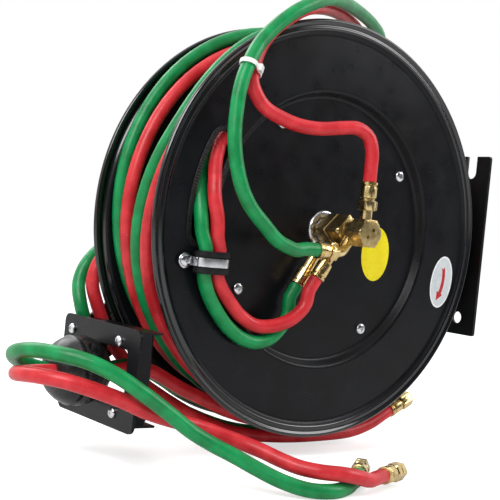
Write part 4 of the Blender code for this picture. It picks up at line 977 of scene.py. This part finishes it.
section = [(7.8, -10.6), (7.8, 10.6), (8.2, 11.0), (10.0, 11.0), (11.0, 10.2), (11.3, 8.0), (11.0, 5.6)]
section += [(9.4, 4.8), (9.4, -4.8), (11.0, -5.6), (11.3, -8.0), (11.0, -10.2), (10.0, -11.0), (8.2, -11.0)]
finished(clip_band("clip_rubber", section, black_rubber), "drum", "black_rubber", "clip_cushion")
section = [(9.7, -4.4), (9.7, 4.4), (10.0, 4.6), (10.7, 4.2), (10.9, 0.0), (10.7, -4.2), (10.0, -4.6)]
strap = clip_band("clip_strap_zinc", section, zinc)
tab = rounded_box((-184.0, 1.5), (-162.0, 3.1), 0.3, 3)
work(strap, slab("tab", tab, clip_z - 4.5, clip_z + 4.5, "Z", zinc), "UNION")
drill(strap, (screw_x, clip_z), 2.8, -2.0, 8.0, "Y")
finished(strap, "drum", "zinc", "clip_strap")
steps = [(-3.0, 1.8), (-2.9, 3.4), (-2.5, 4.9), (-1.7, 5.8), (-0.7, 6.1), (-0.6, 7.0), (-0.2, 7.4)]
steps += [(0.4, 7.5), (1.2, 7.4), (1.2, 2.4), (3.4, 2.4)]
screw = turned("clip_screw_zinc", steps, (screw_x, 0, clip_z), backward, zinc)
work(screw, cross_slot((screw_x, -3.0, clip_z), backward, 3.4, 1.8))
finished(screw, "drum", "zinc", "clip_screw")

# ---------------------------------------------------------------- twin hose on the drum
# One long twin hose: it leaves the swivel's outlets, passes under the clip and through the slot and
# is wound on in layers, so the last turns lie across the older ones.  Each colour is one tube.
layer_low, layer_step = 183.4, 14.6
join_at = 32.0
points_per_turn = 96


def ease(t):
    t = min(max(t, 0.0), 1.0)
    return t * t * (3 - 2 * t)


def bend(t):
    t = min(max(t, 0.0), 1.0)
    return 2 * t * t if t < 0.5 else 1 - 2 * (1 - t) ** 2


def through_slot(colour, turn):
    if colour == "red":
        return on_drum(turn, 151 + 8 * bend((turn + 4) / 15), -8 + 23 * bend((turn - 2) / 29))
    return on_drum(turn, 166 - 5 * ease((turn - 2) / 20), -3.9 + 34.9 * bend((turn + 8) / 36))


# Where a hose changes layer: (turn it begins, turn it takes, rise).
climbs = {
    "red": [(600, 90, layer_step), (1215, 45, layer_step)],
    "green": [(635, 170, 2 * layer_step), (825, 80, -layer_step), (1103, 38, layer_step)],
}
# Where it moves along the drum: (turn it begins, turn it takes, y before, y after); None is the slot's y.
shifts = {
    "red": [(130, 95, None, 49.0), (490, 95, 49.0, 84.0), (730, 60, 84.0, 90.0),
            (790, 140, 90.0, 52.0), (1050, 80, 52.0, 13.0), (1215, 45, 13.0, 24.0)],
    "green": [(130, 95, None, 66.5), (490, 95, 66.5, 102.0), (870, 120, 102.0, 68.0),
              (1055, 95, 68.0, 17.0), (1180, 60, 17.0, 38.6)],
}


def winding(colour, turn):
    """Place of a hose on the drum, from the slot to its last turn."""
    start = through_slot(colour, join_at)
    radius, y = math.hypot(start.x, start.z), start.y
    for begin, span, rise in [(38, 60, layer_low - radius)] + climbs[colour]:
        radius += rise * ease((turn - begin) / span)
    for begin, span, before, after in shifts[colour]:
        y += (after - (start.y if before is None else before)) * ease((turn - begin) / span)
    return on_drum(turn, radius, y)


loop_routes = {
    "red": [
        (-39.5, -18.5, -77), (-48, -17.5, -88.5), (-60, -15, -97), (-76, -10, -102.5),
        (-93, -6, -102.5), (-110, -4, -94), (-125, -4.5, -81), (-137, -6.5, -69)],
    "green": [
        (-48, -1.5, -91), (-57, -2.5, -105), (-70, -3.5, -116), (-88, -4, -120), (-107, -4, -116),
        (-125, -4, -105), (-141, -4.5, -89), (-154, -6, -72)],
}
slot_turns = {"red": (-7, -3, 1, 5, 9, 13, 17, 21, 25), "green": (-5, -2, 2, 6, 10, 14, 18, 22)}
last_turn = run_off + 1080.0
for colour, cover in covers.items():
    reach = outlet_starts[colour] + outlet_lengths[colour] + clearance
    end = outlet_bases[colour] + outlet_way * reach
    route = [end, end + outlet_way * hose_width] + loop_routes[colour]
    route += [(*clip_places[colour], clip_z + dz) for dz in (-12, -4, 4, 12)]
    route += [through_slot(colour, turn) for turn in slot_turns[colour]]
    join = through_slot(colour, join_at)
    line = smooth_line(route + [join - along_drum(join_at) * hose_width, join], line_step)
    turn = join_at + 6.0
    while turn < last_turn - 2.0:
        line.append(winding(colour, turn))
        turn += 360.0 / points_per_turn
    line.append(winding(colour, last_turn))
    round_bar("drum_hose_" + colour, line, hose_width, cover, "drum",
              ["loop_" + colour, "wound_" + colour])

# ---------------------------------------------------------------- inner turns of the hose
# The rest of the twin hose lies under the visible turns, in two layers on the barrel.  Beside the
# slot it keeps to the rear, and away from it two strands come forward to the front disc.
inner_layers = ((152.4, (55.5, 72.0, 94.0)), (166.8, (47.6, 64.4, 83.4, 102.0)))
forward_places = {47.6: 13.2, 64.4: 27.8, 55.5: 20.5}
raised_from, raised_to, raised_over, raised_by = 246.0, 332.0, 26.0, 13.8
turn_step = 5
for layer, (radius, strands) in enumerate(inner_layers, 1):
    for number, rest_y in enumerate(strands, 1):
        forward_y = forward_places.get(rest_y, rest_y)
        line = []
        for turn in range(0, 360, turn_step):
            forward = ease((turn - 104) / 46) * (1 - ease((turn - 300) / 44))
            lift = ease((turn - raised_from) / raised_over)
            lift *= 1 - ease((turn - raised_to + raised_over) / raised_over)
            high = raised_by * lift if layer == 2 and forward_y < rest_y else 0.0
            line.append(on_drum(turn, radius + high, rest_y + (forward_y - rest_y) * forward))
        colour = "green" if (number + layer) % 2 else "red"
        strand = round_bar("inner_turn_%d_%d" % (layer, number), line, hose_width, covers[colour], "drum",
                           closed=True)
        if (layer, number) == (2, 1):
            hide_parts("wound_core")

# ---------------------------------------------------------------- inside the drum
# A rolled steel barrel joins the two discs.  In it are the flanged bearings on the axle and the flat
# rewind spring, and behind the rear disc the ratchet wheel with its pawl.
for name in ("core_barrel", "bearing_front", "bearing_rear", "main_spring", "ratchet_wheel", "pawl"):
    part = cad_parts[name]
    part.data.materials.clear()
    part.data.materials.append(black_coat if name == "core_barrel" else steel)

# ---------------------------------------------------------------- roller guide
# Steel plate with a window, screwed to a folded bracket.  Four rubber-sleeved rollers on pins stand
# round the window, so the hose can be pulled out at any angle without rubbing on the sheet.
screw_places = [(y, z) for z in (-192.7, -124.8) for y in (19.0, 112.5)]
cut_low, cut_high = guide_x - 5.0, guide_x + 8.0
plate = slab("guide_plate_steel", rounded_box((-18.0, -207.0), (131.0, -110.5), 8.0), guide_x,
             guide_x + guide_thick, "X", black_coat)
bracket_x = guide_x + guide_thick + clearance
bracket = slab("roller_bracket_steel", rounded_box((-10.0, -204.0), (131.0, -114.0), 4.0), bracket_x,
               bracket_x + 2.0, "X", black_coat)
window = rounded_box((2.0, -187.0), (114.0, -131.0), 5.0)
for sheet in (plate, bracket):
    work(sheet, slab("punch", window, cut_low, cut_high, "X", black_coat))
    for place in screw_places:
        drill(sheet, place, 2.7, cut_low, cut_high, "X")
inside = bracket_x + 1.0
shelf = rounded_box((inside, -1.0), (-195.5, 118.0), 0.5, 4)
for low in (-116.0, -204.0):
    work(bracket, slab("shelf", shelf, low, low + 2.0, "Z", black_coat), "UNION")
for low, back in ((-1.0, -208.0), (116.0, -195.5)):
    ear = rounded_box((inside, -203.5), (back, -114.5), 0.5, 4)
    work(bracket, slab("ear", ear, low, low + 2.0, "Y", black_coat), "UNION")
pin_places = [((-203, y, -203), (0, 0, 1), 88.0) for y in (15.5, 101.5)]
pin_places += [((-215.5, 0, z), backward, 117.0) for z in (-127.5, -190.5)]
for base, way, length in pin_places:
    pin = turned("pin", [(0, 2.0), (length, 2.0)], base, way, black_coat, sides=24)
    work(bracket, pin, "UNION")
finished(break_edges(plate, 0.5, 3), "frame", "black_coat", "guide_plate")
finished(break_edges(bracket, 0.3), "frame", "black_coat", "roller_bracket")
roller_places = {
    "roller_near": ((-203, 15.5, -201.8), (0, 0, 1), 6.0, 85.6),
    "roller_far": ((-203, 101.5, -201.8), (0, 0, 1), 6.0, 85.6),
    "roller_top": ((-215.5, 1.2, -127.5), backward, 5.5, 114.6),
    "roller_bottom": ((-215.5, 1.2, -190.5), backward, 5.5, 114.6),
}
for name, (base, way, radius, length) in roller_places.items():
    steps = [(0.4, 2.3), (0.4, 3.6), (0.9, 3.8), (0.9, radius - 1.0), (1.2, radius - 0.4), (1.9, radius)]
    steps += [(length - 1.9, radius), (length - 1.2, radius - 0.4), (length - 0.9, radius - 1.0)]
    steps += [(length - 0.9, 3.8), (length - 0.4, 3.6), (length - 0.4, 2.3)]
    roller = turned(name + "_rubber", steps, base, way, black_rubber, hollow=True)
    finished(roller, name, "black_rubber", name)
screw_head = 3.6
for number, (y, z) in enumerate(screw_places, 1):
    steps = [(-screw_head, 1.4), (-3.5, 2.6), (-3.0, 4.0), (-2.1, 4.9), (-1.2, 5.2), (-clearance, 5.2)]
    steps += [(-clearance, 2.4), (5.6, 2.4), (6.2, 1.9)]
    screw = turned("guide_screw_%d_zinc" % number, steps, (guide_x, y, z), (1, 0, 0), zinc)
    work(screw, cross_slot((guide_x - screw_head, y, z), (1, 0, 0), 3.0, 1.8))
    finished(screw, "frame", "zinc", "guide_screw_%d" % number)

# ---------------------------------------------------------------- hose stop
# Ball-shaped stop of hard black rubber, moulded in two halves with a groove round it and a flat
# nose.  It clamps on the twin hose with two long screws and rests against the guide's window.
stop_rubber = surface("stop_rubber", (0.006, 0.006, 0.0065), (0.013, 0.013, 0.014), 70.0, (0.20, 0.34),
                      900.0, 0.10)
stop_x, stop_radius = -251.0, 34.0
stop_y = sum(pair_y.values()) / 2
nose_x, groove_x = -28.0, -6.0


def on_ball(degrees):
    angle = math.radians(degrees)
    return stop_radius * math.cos(angle), stop_radius * math.sin(angle)


profile = [(nose_x, 17.0), (nose_x + 0.3, 18.6), (nose_x + 1.2, 19.8)]
profile += [on_ball(degrees) for degrees in range(142, 106, -3)]
profile += [(groove_x - 2.6, 33.6), (groove_x - 2.2, 33.2), (groove_x - 1.2, 30.8), (groove_x, 30.5)]
profile += [(groove_x + 1.2, 30.8), (groove_x + 2.2, 33.4), (groove_x + 2.6, 33.7)]
profile += [on_ball(degrees) for degrees in range(97, 29, -4)]
split, half_height = 0.2, 59.8
screw_x, screw_top = stop_x + 4, 19.3
stop_screws = (stop_y - 22.5, stop_y + 22.5)
for half, above in (("a", True), ("b", False)):
    name = "hose_stop_%s_rubber" % half
    piece = turned(name, profile, (stop_x, stop_y, stop_z), (1, 0, 0), stop_rubber, sides=96)
    low = stop_z + (split if above else -split - half_height)
    keep = rounded_box((stop_x - 50, 0), (stop_x + 50, 122), 1.0, 3)
    work(piece, slab("keep", keep, low, low + half_height, "Z", stop_rubber), "INTERSECT")
    for y in pair_y.values():
        drill(piece, (y, stop_z), hose_width / 2 + 0.6, -300.0, -200.0, "X", 72)
    for y in stop_screws:
        drill(piece, (screw_x, y), 2.4, -200.0, -120.0, "Z")
        if above:
            drill(piece, (screw_x, y), 5.0, stop_z + 16.0, -120.0, "Z", 36)
    finished(piece, "frame", "black_rubber", "hose_stop_half_" + half)
for number, y in enumerate(stop_screws, 1):
    steps = [(-15.0, 2.0), (16.3, 2.0), (16.3, 4.2), (18.2, 4.2), (19.0, 3.6), (screw_top, 2.2)]
    screw = turned("hose_stop_screw_%d_zinc" % number, steps, (screw_x, y, stop_z), (0, 0, 1), zinc)
    work(screw, cross_slot((screw_x, y, stop_z + screw_top), (0, 0, -1), 2.6, 1.6))
    finished(screw, "frame", "zinc", "hose_stop_screw_%d" % number)
